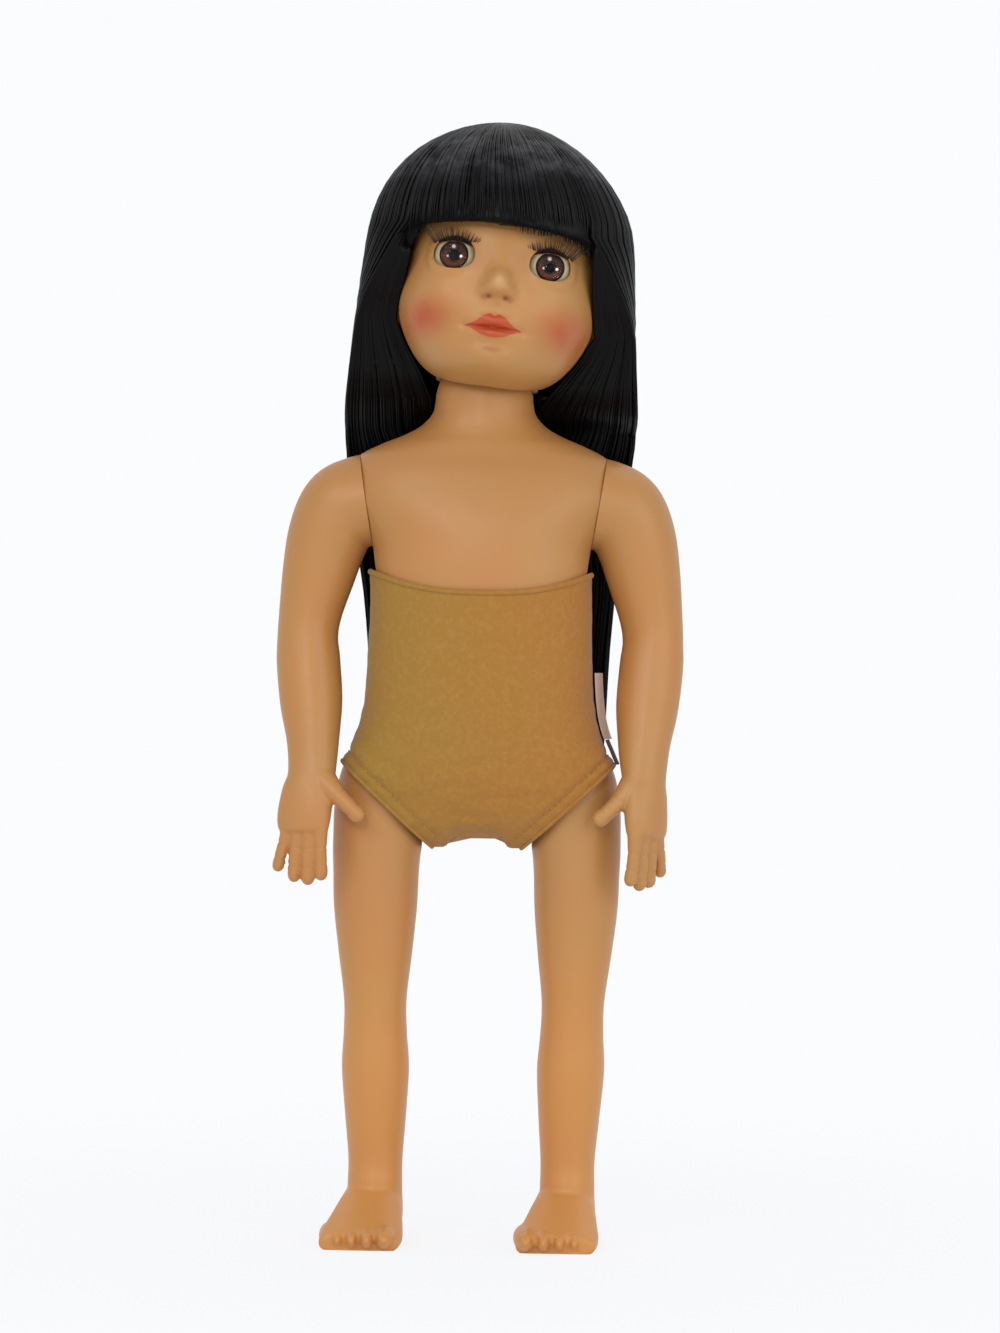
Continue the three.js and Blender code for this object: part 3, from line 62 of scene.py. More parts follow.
# The head hangs from the neck pivot, and its own frame starts midway between the eyes.
NECK_PIVOT = Vector((0, 3, 343))
PIVOT_IN_HEAD = Vector((0, 11.7, -48.7))
HEAD_PLACE = (
    Matrix.Translation(NECK_PIVOT)
    @ Matrix.Rotation(math.radians(6.6), 4, "Y")
    @ Matrix.Rotation(math.radians(-7), 4, "X")
    @ Matrix.Translation(-PIVOT_IN_HEAD)
)
HEAD_MIDDLE = Vector((0, -1, -3))
HEAD_HALF_WIDTH = 39
HEAD_BACK = 46
HEAD_TOP = 50
HEAD_BOTTOM = 47.4
HEAD_FULLNESS = 2.4
EYE_SPACING = 36.4
EYE_DEPTH = -28.5
EYE_YAW = math.radians(8)
BALL_RADIUS = 10.2
LID_INNER = 10.5
LID_OUTER = 10.95
SOCKET_RADIUS = 12.35
HEAD_WALL = 0.7
LID_EDGE = math.radians(29.5)
EYE_HALF_WIDTH = 8.8
EYE_ABOVE = 7.8
EYE_BELOW = 6.1
IRIS_RADIUS = 5.9
PUPIL_RADIUS = 2.1
NECK_HOLE = 23.3

# The leg openings slope, and lengths across them are measured from this plane.
HIP_SLOPE = math.radians(42.8)
CASING_DEPTH = 16
SHOULDER_SLANT = math.radians(9)
CLOTH_WALL = 1.2
CLOTH_EDGE = 268.7


def linear(red, green, blue, alpha=1.0):
    """A screen colour of 0 to 255 per channel as the light values a shader takes."""
    def channel(value):
        share = value / 255
        return share / 12.92 if share <= 0.04045 else ((share + 0.055) / 1.055) ** 2.4
    return (channel(red), channel(green), channel(blue), alpha)


def colour_property(name, description, rgb):
    return bpy.props.FloatVectorProperty(
        name=name, description=description, subtype="COLOR", size=4,
        min=0, max=1, default=linear(*rgb),
    )


class DollSizes(bpy.types.PropertyGroup):
    """Sizes that change the doll's looks without touching its frame."""
    strand_width: bpy.props.FloatProperty(
        name="Strand Width", description="Width of one lock of the wig",
        default=0.0015, min=0.0005, max=0.004, unit="LENGTH")
    strand_count: bpy.props.IntProperty(
        name="Strands", description="Locks in the wig's outer layer",
        default=420, min=100, max=700)
    lash_length: bpy.props.FloatProperty(
        name="Lash Length", description="Length of the upper lashes",
        default=0.0086, min=0.003, max=0.01, unit="LENGTH")
    lash_count: bpy.props.IntProperty(
        name="Lashes", description="Lashes on each lid", default=36, min=10, max=90)
    hem_radius: bpy.props.FloatProperty(
        name="Hem Radius", description="Radius of the rolled hem at the cloth's edges",
        default=0.0009, min=0.0004, max=0.002, unit="LENGTH")
    stitch_length: bpy.props.FloatProperty(
        name="Stitch Length", description="Length of one stitch above a leg opening",
        default=0.0021, min=0.001, max=0.004, unit="LENGTH")


class DollColours(bpy.types.PropertyGroup):
    """Colours of the doll's finishes, and of the light and shade painted on them."""
    skin: colour_property("Skin", "Vinyl of the head, plate and limbs", (188, 137, 79))
    warm_skin: colour_property("Warm Skin", "Redder vinyl at the limbs' edges", (196, 131, 73))
    blush: colour_property("Blush", "Paint on the cheeks", (184, 84, 44))
    lips: colour_property("Lips", "Paint of the lips", (190, 75, 38))
    mouth_line: colour_property("Mouth Line", "Paint between the lips", (152, 54, 34))
    hair: colour_property("Hair", "Dark tone of the wig", (5, 5, 6))
    # Painted light: a lighter, yellower tone laid on the shins and feet
    shin_painted_light: colour_property("Painted Shin Light", "Painted light on the shins and feet", (213, 148, 80))
    # Painted shade: a duller, darker tone laid on the neck and chest
    neck_painted_shade: colour_property("Painted Neck Shade", "Painted shade on the neck and chest", (180, 127, 70))
    hair_shine: colour_property("Hair Shine", "Lighter tone of the wig", (17, 16, 18))
    # Painted highlight: the band of light round the crown
    crown_painted_highlight: colour_property("Crown Painted Highlight", "Painted highlight band round the crown", (66, 64, 68))
    cloth: colour_property("Cloth", "Cloth of the body", (174, 117, 51))
    cloth_shade: colour_property("Cloth Shade", "Greener tone in the cloth", (162, 124, 52))
    eye_white: colour_property("Eye White", "White of the eyes", (198, 184, 152))
    iris: colour_property("Iris", "Brown of the irises", (38, 18, 12))
    lash: colour_property("Lashes", "Fibre of the lashes", (13, 9, 7))
    pale_label: colour_property("Pale Label", "Blank upper side label", (232, 208, 194))
    dark_label: colour_property("Dark Label", "Blank lower side label", (74, 48, 32))


def smoothstep(value, low, high):
    share = min(1.0, max(0.0, (value - low) / (high - low)))
    return share * share * (3 - 2 * share)


def mix(first, second, share):
    return first + (second - first) * share


def power(value, exponent):
    return math.copysign(abs(value) ** exponent, value)


def through(stations, share):
    """The values at a share of the way along rows of numbers, smooth through them all."""
    position = min(1.0, max(0.0, share)) * (len(stations) - 1)
    index = min(int(position), len(stations) - 2)
    step = position - index
    here = stations[index]
    there = stations[index + 1]
    before = stations[index - 1] if index else [2 * a - b for a, b in zip(here, there)]
    last = index + 2 >= len(stations)
    after = [2 * b - a for a, b in zip(here, there)] if last else stations[index + 2]
    result = []
    for a, b, c, d in zip(before, here, there, after):
        rise = (c - a) / 2
        fall = (d - b) / 2
        result.append(
            b + step * (rise + step * (3 * (c - b) - 2 * rise - fall
                                       + step * (2 * (b - c) + rise + fall)))
        )
    return result


def at_height(stations, height):
    """The values of rows sorted by their first number, at a given first number."""
    low, high = 0.0, 1.0
    for _ in range(24):
        middle = (low + high) / 2
        if through(stations, middle)[0] < height:
            low = middle
        else:
            high = middle
    return through(stations, low)


def on_line(points, value):
    """The second number at a given first one, along straight steps between points."""
    if value <= points[0][0]:
        return points[0][1]
    for (a, b), (c, d) in zip(points, points[1:]):
        if value <= c:
            return mix(b, d, (value - a) / (c - a))
    return points[-1][1]


def outline(angle, half_width, front, back, fullness=2.0):
    """A point of a closed outline as its reach across and along."""
    side = power(math.cos(angle), 2 / fullness) * half_width
    depth = power(math.sin(angle), 2 / fullness)
    return side, depth * (front if depth < 0 else back)


def sheet(columns, rows, place):
    """A grid of quads with each point moved to place(across, along), both from 0 to 1."""
    bm = bmesh.new()
    uv = bm.loops.layers.uv.new("UVMap")
    bmesh.ops.create_grid(bm, x_segments=columns, y_segments=rows, size=1)
    for face in bm.faces:
        for loop in face.loops:
            loop[uv].uv = ((loop.vert.co.x + 1) / 2, (loop.vert.co.y + 1) / 2)
    for vert in bm.verts:
        vert.co = place((vert.co.x + 1) / 2, (vert.co.y + 1) / 2)
    return bm


def merge(bm, distance=0.0005):
    bmesh.ops.remove_doubles(bm, verts=bm.verts, dist=distance)
    return bm


def open_edges(bm):
    return [edge for edge in bm.edges if edge.is_boundary]


def drop_lone(bm):
    """Deletes the points that no face uses."""
    lone = [vert for vert in bm.verts if not vert.link_faces]
    bmesh.ops.delete(bm, geom=lone, context="VERTS")
    return bm


def cap(bm):
    """Closes every open end."""
    edges = open_edges(bm)
    if edges:
        bmesh.ops.holes_fill(bm, edges=edges, sides=0)
    return bm


def tube(columns, rows, place):
    """A closed skin: a grid joined to itself round its columns, with its ends filled."""
    return cap(merge(sheet(columns, rows, place)))


def faced_out(bm):
    bmesh.ops.recalc_face_normals(bm, faces=bm.faces)
    return bm


def add_to(bm, other):
    """Adds another shape to this one."""
    mesh = bpy.data.meshes.new("joined")
    other.to_mesh(mesh)
    other.free()
    bm.from_mesh(mesh)
    bpy.data.meshes.remove(mesh)
    return bm


def turned_into(bm, matrix):
    bmesh.ops.transform(bm, matrix=matrix, verts=bm.verts)
    return bm


def mirrored(bm, sign):
    """The shape itself for the left side, or its mirror image for the right."""
    if sign < 0:
        bmesh.ops.scale(bm, vec=(-1, 1, 1), verts=bm.verts)
        bmesh.ops.reverse_faces(bm, faces=bm.faces)
    return bm


def divide(bm, point, normal, clear):
    """Splits a shape along a plane, clears its outer side if asked, and gives the new edges."""
    made = bmesh.ops.bisect_plane(
        bm, geom=bm.verts[:] + bm.edges[:] + bm.faces[:], dist=1e-5,
        plane_co=point, plane_no=normal, clear_outer=clear,
    )["geom_cut"]
    return [item for item in made if isinstance(item, bmesh.types.BMEdge)]


def cut(bm, point, normal, fill=True):
    """Takes away what lies on the side of a plane that its normal points to."""
    for edge in divide(bm, point, normal, clear=True):
        edge.smooth = False
    return cap(bm) if fill else bm


def evaluated(bm, *modifiers):
    """The shape after modifiers, each a type with its settings."""
    mesh = bpy.data.meshes.new("work")
    bm.to_mesh(mesh)
    bm.free()
    obj = bpy.data.objects.new("work", mesh)
    bpy.context.scene.collection.objects.link(obj)
    for kind, settings in modifiers:
        modifier = obj.modifiers.new(kind, kind)
        for key, value in settings.items():
            setattr(modifier, key, value)
    graph = bpy.context.evaluated_depsgraph_get()
    made = bpy.data.meshes.new_from_object(obj.evaluated_get(graph))
    result = bmesh.new()
    result.from_mesh(made)
    bpy.data.objects.remove(obj)
    bpy.data.meshes.remove(mesh)
    bpy.data.meshes.remove(made)
    return result


def walled(bm, thickness):
    """An open skin with a wall of a thickness on its inner side."""
    return evaluated(bm, ("SOLIDIFY", {"thickness": thickness, "offset": -1}))


def even_skin(bm, voxel, smoothing, *more):
    """The union of closed shapes as one even skin, with any more modifiers after it."""
    return evaluated(
        bm,
        ("REMESH", {"mode": "VOXEL", "voxel_size": voxel}),
        ("SMOOTH", {"factor": 0.5, "iterations": smoothing}),
        *more,
    )


def copy_of(*nodes):
    """The merged meshes of CAD nodes, in millimetres."""
    bm = bmesh.new()
    for node in nodes:
        bm.from_mesh(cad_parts[node].data)
    bmesh.ops.scale(bm, vec=(1 / MM,) * 3, verts=bm.verts)
    return merge(bm)


def keep(name, bm, material, slot, body=None, stands_for=()):
    """Makes the finished piece, in metres, attaches it to what it rides on and hides the frame parts that
    it stands for.
    """
    bmesh.ops.scale(bm, vec=(MM, MM, MM), verts=bm.verts)
    mesh = bpy.data.meshes.new(name)
    for face in bm.faces:
        face.smooth = True
    if slot not in ("hair_fibre", "lash_fibre"):
        for edge in bm.edges:
            edge.smooth = edge.calc_face_angle(0) < 0.8
    bm.to_mesh(mesh)
    bm.free()
    mesh.materials.append(material)
    obj = bpy.data.objects.new(name, mesh)
    bpy.context.scene.collection.objects.link(obj)
    if body:
        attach(obj, body)
    if stands_for:
        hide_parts(*stands_for)
    return obj


# Materials


class Tree:
    """Adds nodes to a tree, with each input given as a value or another node's output."""

    def __init__(self, tree):
        self.tree = tree

    def give(self, socket, value):
        """Links an input to another node's output, or sets it to a value."""
        if isinstance(value, bpy.types.NodeSocket):
            self.tree.links.new(value, socket)
        else:
            socket.default_value = value

    def add(self, kind, inputs=None, **settings):
        node = self.tree.nodes.new(kind)
        for key, value in settings.items():
            setattr(node, key, value)
        for key, value in (inputs or {}).items():
            self.give(node.inputs[key], value)
        return node

    def math(self, operation, first, second=0.0, clamp=False):
        node = self.add("ShaderNodeMath", {0: first, 1: second}, operation=operation)
        node.use_clamp = clamp
        return node.outputs[0]

    def plus(self, first, second, clamp=False):
        return self.math("ADD", first, second, clamp)

    def minus(self, first, second):
        return self.math("SUBTRACT", first, second)

    def times(self, first, second):
        return self.math("MULTIPLY", first, second)

    def over(self, first, second, clamp=False):
        return self.math("DIVIDE", first, second, clamp)

    def line(self, value, factor, start):
        """A value times a factor, plus a start."""
        return self.plus(self.times(value, factor), start)

    def reach(self, across, up):
        """How far a point is from the origin, from its two places."""
        return self.math("SQRT", self.plus(self.times(across, across), self.times(up, up)))

    def blend(self, share, first, second, mode="MIX"):
        node = self.add("ShaderNodeMix", data_type="RGBA", blend_type=mode)
        for index, value in ((0, share), (6, first), (7, second)):
            self.give(node.inputs[index], value)
        return node.outputs[2]

    def tint(self, tone, paint, share, strength):
        """Lays a colour over a tone where a share says, at a strength."""
        return self.blend(self.times(share, strength), tone, paint)

    def step(self, value, low, high):
        """0 below low, 1 above high and smooth between, or the other way round."""
        node = self.add(
            "ShaderNodeMapRange", {0: value, 1: low, 2: high}, interpolation_type="SMOOTHSTEP")
        return node.outputs[0]

    def noise(self, vector, scale, detail=3.0, roughness=0.5):
        node = self.add("ShaderNodeTexNoise", {
            "Vector": vector, "Scale": scale, "Detail": detail, "Roughness": roughness})
        return node.outputs[0]

    def stripes(self, vector, scale, direction, distortion):
        node = self.add(
            "ShaderNodeTexWave",
            {"Vector": vector, "Scale": scale, "Distortion": distortion, "Detail": 1, "Detail Scale": 2},
            wave_type="BANDS", bands_direction=direction)
        return node.outputs[1]

    def apart(self, vector):
        return self.add("ShaderNodeSeparateXYZ", {0: vector}).outputs

    def together(self, *parts):
        return self.add("ShaderNodeCombineXYZ", dict(enumerate(parts))).outputs[0]

    def object_place(self):
        return self.add("ShaderNodeTexCoord").outputs["Object"]

    def uv(self, name="UVMap"):
        return self.add("ShaderNodeUVMap", uv_map=name).outputs[0]

    def effect(self, name, inputs, place=None):
        """A shared effect, laid on the object's own coordinates unless a place is given."""
        node = self.add("ShaderNodeGroup", node_tree=bpy.data.node_groups[name])
        self.give(node.inputs["Vector"], self.object_place() if place is None else place)
        for key, value in inputs.items():
            self.give(node.inputs[key], value)
        return node.outputs


COLOUR = "NodeSocketColor"
NUMBER = "NodeSocketFloat"
WHITE = (1, 1, 1, 1)


def new_effect(name, inputs):
    """An empty effect with its inputs, each a name, kind and default, and every effect's outputs."""
    tree = bpy.data.node_groups.new(name, "ShaderNodeTree")
    tree.interface.new_socket("Vector", in_out="INPUT", socket_type="NodeSocketVector")
    for title, kind, default in inputs:
        socket = tree.interface.new_socket(title, in_out="INPUT", socket_type=kind)
        socket.default_value = default
    for title, kind in (("Color", COLOUR), ("Roughness", NUMBER), ("Height", NUMBER)):
        tree.interface.new_socket(title, in_out="OUTPUT", socket_type=kind)
    graph = Tree(tree)
    return graph, graph.add("NodeGroupInput").outputs, graph.add("NodeGroupOutput")


def hand_out(tree, out, tone, rough, height):
    for title, value in (("Color", tone), ("Roughness", rough), ("Height", height)):
        tree.give(out.inputs[title], value)


def vinyl_effect():
    """A slow drift between two tones, with fine specks and grain."""
    tree, given, out = new_effect(
        "Moulded Vinyl", (("Tone", COLOUR, WHITE), ("Warm Tone", COLOUR, WHITE)))
    place = given["Vector"]
    drift = tree.step(tree.noise(place, 24, 2), 0.38, 0.66)
    fine = tree.noise(place, 160, 4)
    tone = tree.tint(given["Tone"], given["Warm Tone"], drift, 0.55)
    tone = tree.tint(tone, (0.45, 0.22, 0.10, 1), tree.step(fine, 0.45, 0.75), 0.10)
    grain = tree.plus(tree.noise(place, 1500, 2), tree.times(fine, 0.8))
    hand_out(tree, out, tone, tree.line(fine, 0.16, 0.33), grain)


def streak_effect():
    """Long streaks of a light tone in a dark one, as along fibres."""
    tree, given, out = new_effect("Strand Streaks", (
        ("Dark", COLOUR, (0, 0, 0, 1)), ("Light", COLOUR, WHITE),
        ("Across", NUMBER, 900.0), ("Along", NUMBER, 5.0)))
    x, y, z = tree.apart(given["Vector"])
    along = given["Along"]
    stretched = tree.together(tree.times(x, given["Across"]), tree.times(y, along), tree.times(z, along))
    streak = tree.noise(stretched, 1.0, 4, 0.6)
    tone = tree.blend(tree.step(streak, 0.42, 0.74), given["Dark"], given["Light"])
    hand_out(tree, out, tone, tree.line(streak, 0.22, 0.24), streak)


def knit_effect():
    """Ribs and courses of thread, clouded between two tones and a little worn."""
    tree, given, out = new_effect("Knit Cloth", (
        ("Tone", COLOUR, WHITE), ("Shade", COLOUR, WHITE), ("Threads", NUMBER, 1.0)))
    place = given["Vector"]
    scaled = tree.add(
        "ShaderNodeVectorMath", {0: place, "Scale": given["Threads"]}, operation="SCALE").outputs[0]
    rib = tree.stripes(scaled, 520, "X", 0.6)
    course = tree.stripes(scaled, 400, "Z", 0.8)
    knit = tree.times(tree.plus(rib, course), 0.5)
    cloud = tree.times(tree.minus(tree.noise(place, 16, 2), 0.5), 1.2)
    sideways = tree.times(tree.apart(place)[0], -11)
    patch = tree.plus(tree.plus(cloud, sideways), 0.45, clamp=True)
    pill = tree.noise(place, 420, 4, 0.65)
    tone = tree.blend(patch, given["Tone"], given["Shade"])
    tone = tree.tint(tone, (0.62, 0.38, 0.14, 1), tree.step(pill, 0.4, 0.7), 0.14)
    tone = tree.tint(tone, (0.14, 0.07, 0.02, 1), knit, 0.10)
    hand_out(tree, out, tone, tree.line(pill, 0.2, 0.72), tree.plus(knit, tree.times(pill, 0.8)))


def plastic_effect():
    """One tone, duller in patches, with a fine grain."""
    tree, given, out = new_effect("Plain Plastic", (("Tone", COLOUR, WHITE), ("Grain", NUMBER, 300.0)))
    cloud = tree.noise(given["Vector"], 40, 3)
    grain = tree.noise(given["Vector"], given["Grain"])
    dull = tree.blend(0.85, given["Tone"], (0.55, 0.55, 0.55, 1), "MULTIPLY")
    tone = tree.tint(given["Tone"], dull, tree.step(cloud, 0.35, 0.7), 0.35)
    hand_out(tree, out, tone, tree.line(grain, 0.25, 0.3), grain)


def finish(name, settings=None, bump=0.0, depth=0.0002):
    """A new material with its Principled shader, a tree to add to, and a bump if asked."""
    material = bpy.data.materials.new(name)
    material.use_nodes = True
    tree = Tree(material.node_tree)
    shader = material.node_tree.nodes["Principled BSDF"]
    for key, value in (settings or {}).items():
        shader.inputs[key].default_value = value
    if not bump:
        return material, tree, shader, None
    node = tree.add("ShaderNodeBump", {"Strength": bump, "Distance": depth})
    tree.give(shader.inputs["Normal"], node.outputs[0])
    return material, tree, shader, node.inputs["Height"]


def paint(tree, shader, height, tone, rough, grain):
    """Links a finish's colour, roughness and bump height to its shader."""
    tree.give(shader.inputs["Base Color"], tone)
    tree.give(shader.inputs["Roughness"], rough)
    tree.give(height, grain)


def dress(tree, shader, height, outputs, tone=None):
    """Links an effect's outputs to the shader, with a painted tone in place of its colour."""
    colour = outputs["Color"] if tone is None else tone
    paint(tree, shader, height, colour, outputs["Roughness"], outputs["Height"])


def surface(tree, material, share, first, second):
    """Shows the first shader at a share of 0 and the second at 1."""
    both = tree.add("ShaderNodeMixShader", {0: share, 1: first.outputs[0], 2: second.outputs[0]})
    tree.give(material.node_tree.nodes["Material Output"].inputs["Surface"], both.outputs[0])


def shade(tone, factor):
    """A tone made darker or lighter by a factor, up to full light."""
    return [min(1.0, factor * part) for part in tone[:3]] + [1]


VINYL = {"Specular IOR Level": 0.42, "Subsurface Weight": 0.06, "Subsurface Scale": 0.004,
         "Subsurface Radius": (1.0, 0.35, 0.18)}


def make_skin(colours):
    """Limb vinyl with painted light and shade, as the photograph's light has it: yellower and lighter at
    the shins, duller at the neck.
    """
    material, tree, shader, height = finish("limb_vinyl", VINYL, 0.10, 0.0001)
    vinyl = tree.effect("Moulded Vinyl", {"Tone": colours.skin, "Warm Tone": colours.warm_skin})
    up = tree.apart(tree.object_place())[2]
    # Painted light: lighter and yellower low down, at the shins and feet
    tone = tree.tint(vinyl["Color"], colours.shin_painted_light, tree.step(up, 0.15, 0.06), 0.8)
    # Painted shade: duller high up, at the neck and chest
    tone = tree.tint(tone, colours.neck_painted_shade, tree.step(up, 0.26, 0.32), 0.6)
    dress(tree, shader, height, vinyl, tone)
    return material


# Half the width that the curves of the lips run over, in millimetres.
LIP_REACH = 14.0
# Each lip line from the middle outwards: across and up in the head's frame, the same on both sides.
UPPER_LIP = ((0, -23.1), (1.6, -22.4), (3.4, -22.9), (7.5, -26.0), (11.6, -27.6), (14, -28.2))
LIP_LINE = ((0, -28.2), (2.5, -27.7), (6, -27.4), (11.6, -27.7), (14, -28))
LOWER_LIP = ((0, -32.2), (4, -31.5), (8, -29.5), (11.6, -27.9), (14, -27.6))
# The side of the square that the face map covers, in millimetres.
FACE_MAP = 200
# Painted light and shade on the face, with the painted nostrils.
FACE_PAINTED_LIGHT_SHADE_AND_NOSTRILS = (
    # across, up, half width, half height, softness; strength; colour
    # painted highlight on the tip of the nose
    ((0, -9.5, 5.5, 6.5, 0.1), 0.3, (226, 186, 138)),
    # painted shade in the hollows round the eyes
    ((14, 1.5, 13, 9.5, 0.5), 0.20, (150, 84, 48)),
    # painted shade beside the nostril wings
    ((4.4, -16.2, 3.6, 2.0, 0.2), 0.55, (150, 80, 50)),
    ((3.3, -15.9, 1.6, 1.0, 0.2), 0.6, (120, 60, 36)),
    # painted shadow under the lower lip
    ((0, -36.6, 7.5, 2.6, 0.1), 0.35, (150, 86, 50)),
)
CHEEK = (27.5, -25, 16.5, 12.5, 0.0)
FULLER_CHEEK = (30, -24, 18, 14.5, 0.0)


def curve_of(tree, value, half):
    """A curve through a lip line's points and their mirror images, as a height."""
    points = [(-x, up) for x, up in reversed(half[1:])] + list(half)
    share = tree.over(tree.minus(value, -LIP_REACH), 2 * LIP_REACH, clamp=True)
    node = tree.add("ShaderNodeFloatCurve", {"Value": share})
    curve = node.mapping.curves[0]
    heights = [up for _, up in points]
    floor, top = min(heights) - 1, max(heights) + 1
    marks = [((x + LIP_REACH) / (2 * LIP_REACH), (up - floor) / (top - floor)) for x, up in points]
    curve.points[0].location = marks[0]
    curve.points[1].location = marks[-1]
    for mark in marks[1:-1]:
        curve.points.new(*mark)
    node.mapping.update()
    return tree.line(node.outputs[0], top - floor, floor)


def make_face_paint(colours):
    """Vinyl with the painted cheeks, lips and nostrils, a painted highlight on the nose and painted shade
    round the eyes, beside the nostrils and under the lower lip. Its face map holds head millimetres.
    """
    material, tree, shader, height = finish("face_vinyl", VINYL, 0.08, 0.0001)
    vinyl = tree.effect("Moulded Vinyl", {"Tone": colours.skin, "Warm Tone": colours.warm_skin})
    parts = tree.apart(tree.uv("face"))
    across, up = (tree.times(tree.minus(part, 0.5), FACE_MAP) for part in parts[:2])
    front = tree.step(tree.times(tree.apart(tree.object_place())[1], -1), 0.008, 0.02)
    side = tree.math("ABSOLUTE", across)

    def spot(x, z, wide, high, soft):
        """1 in the middle of an oval on each side of the face, and 0 past its edge."""
        reach = tree.reach(tree.over(tree.minus(side, x), wide), tree.over(tree.minus(up, z), high))
        return tree.times(tree.step(reach, 1.0, soft), front)

    blot = tree.noise(tree.object_place(), 90, 3)
    fuller = tree.times(spot(*FULLER_CHEEK), tree.step(across, -3, 3))
    cheek = tree.times(tree.math("MAXIMUM", spot(*CHEEK), fuller), tree.plus(blot, 0.35))
    tone = tree.tint(vinyl["Color"], colours.blush, cheek, 0.95)
    # Painted highlight and shade on the face, and the dark nostrils
    for oval, strength, rgb in FACE_PAINTED_LIGHT_SHADE_AND_NOSTRILS:
        tone = tree.tint(tone, linear(*rgb), spot(*oval), strength)
    upper, lower, line = (curve_of(tree, across, half) for half in (UPPER_LIP, LOWER_LIP, LIP_LINE))
    inside = tree.times(tree.step(tree.minus(upper, up), -0.25, 0.35),
                        tree.step(tree.minus(up, lower), -0.25, 0.45))
    inside = tree.times(tree.times(inside, tree.step(side, 12.4, 10.8)), front)
    tone = tree.tint(tone, colours.lips, inside, 0.95)
    gap = tree.math("ABSOLUTE", tree.minus(up, line))
    seam = tree.times(tree.times(tree.step(gap, 0.75, 0.1), tree.step(side, 12.2, 9.5)), front)
    tone = tree.tint(tone, colours.mouth_line, seam, 0.75)
    glossy = tree.blend(inside, vinyl["Roughness"], (0.26, 0.26, 0.26, 1))
    paint(tree, shader, height, tone, glossy, vinyl["Height"])
    return material


def make_hair(colours):
    """Black fibre with a painted highlight: a soft band of shine round the crown."""
    material, tree, shader, height = finish("wig_strands", {"Specular IOR Level": 0.11}, 0.5, 0.0002)
    streaks = tree.effect("Strand Streaks", {
        "Dark": colours.hair, "Light": colours.hair_shine, "Across": 1300.0, "Along": 6.0}, tree.uv())
    up = tree.apart(tree.object_place())[2]
    # Painted highlight: a broken band of lighter colour round the crown
    band = tree.times(tree.step(up, 0.424, 0.438), tree.step(up, 0.456, 0.444))
    broken = tree.noise(tree.object_place(), 95, 3, 0.6)
    band = tree.times(band, tree.step(broken, 0.36, 0.66))
    dress(tree, shader, height, streaks, tree.tint(streaks["Color"], colours.crown_painted_highlight, band, 0.9))
    return material


def make_hair_base(colours):
    material, tree, shader, height = finish("wig_wefts", {"Specular IOR Level": 0.1}, 0.5, 0.0003)
    dress(tree, shader, height, tree.effect("Strand Streaks", {
        "Dark": colours.hair, "Light": colours.hair_shine, "Across": 900.0, "Along": 12.0}))
    return material


def make_cloth(colours, name="body_knit", threads=1.0):
    settings = {"Specular IOR Level": 0.25, "Sheen Weight": 0.15, "Sheen Roughness": 0.5}
    material, tree, shader, height = finish(name, settings, 0.25, 0.00015)
    dress(tree, shader, height, tree.effect("Knit Cloth", {
        "Tone": colours.cloth, "Shade": colours.cloth_shade, "Threads": threads}))
    return material


def make_label(name, tone):
    material, tree, shader, height = finish(name, {"Specular IOR Level": 0.3}, 0.3, 0.0001)
    dress(tree, shader, height, tree.effect("Knit Cloth", {
        "Tone": tone, "Shade": shade(tone, 0.93), "Threads": 1.7}))
    return material


def make_plastic(name, rgb, grain=300.0, bump=0.12, depth=0.0001, **settings):
    inputs = {key.replace("_", " "): value for key, value in settings.items()}
    material, tree, shader, height = finish(name, inputs, bump, depth)
    dress(tree, shader, height, tree.effect("Plain Plastic", {"Tone": linear(*rgb), "Grain": grain}))
    return material


def make_net():
    material, tree, shader, height = finish("wig_net", {"Specular IOR Level": 0.3}, 0.9, 0.0005)
    cell = tree.add("ShaderNodeTexVoronoi", {"Vector": tree.object_place(), "Scale": 620},
                    feature="DISTANCE_TO_EDGE")
    line = tree.step(cell.outputs[0], 0.16, 0.05)
    tone = tree.blend(line, linear(18, 17, 18), linear(44, 42, 44))
    paint(tree, shader, height, tone, tree.line(line, 0.2, 0.6), line)
    return material


# Small lights painted on the iris round the pupil: across, up, radius (shares of it) and strength.
IRIS_LIGHTS = ((0.47, -0.04, 0.13, 1.0), (-0.42, -0.10, 0.11, 0.55), (-0.10, 0.58, 0.17, 0.45))


def make_iris(colours):
    """Brown fibres from the pupil out, darker at the rim, with painted light and shade that make the bottom
    lighter than the top, and the small painted lights.
    """
    material, tree, shader, height = finish(
        "iris_brown", {"Roughness": 0.5, "Specular IOR Level": 0.1}, 0.4, 0.0002)
    parts = tree.apart(tree.uv())
    x, y = (tree.times(tree.minus(part, 0.5), 2) for part in parts[:2])
    reach = tree.reach(x, y)
    fan = tree.together(tree.times(tree.math("ARCTAN2", y, x), 9), tree.times(reach, 1.2))
    fibres = tree.noise(fan, 1.6, 4, 0.65)
    tone = tree.blend(tree.step(fibres, 0.42, 0.68), colours.iris, shade(colours.iris, 1.5))
    # Painted light and shade: lighter towards the iris's bottom, darker at the top as under the lid and
    # lashes
    tone = tree.tint(tone, linear(84, 39, 22), tree.step(y, 0.6, -0.7), 0.7)
    tone = tree.blend(tree.step(reach, 0.70, 0.93), tone, linear(16, 7, 5))
    tone = tree.blend(tree.step(reach, 0.56, 0.38), tone, linear(15, 7, 5))
    for across, up, radius, strength in IRIS_LIGHTS:
        away = tree.reach(tree.minus(x, across), tree.minus(y, up))
        tone = tree.tint(tone, linear(238, 222, 212), tree.step(away, radius, radius * 0.45), strength)
    tree.give(shader.inputs["Base Color"], tone)
    tree.give(height, fibres)
    return material


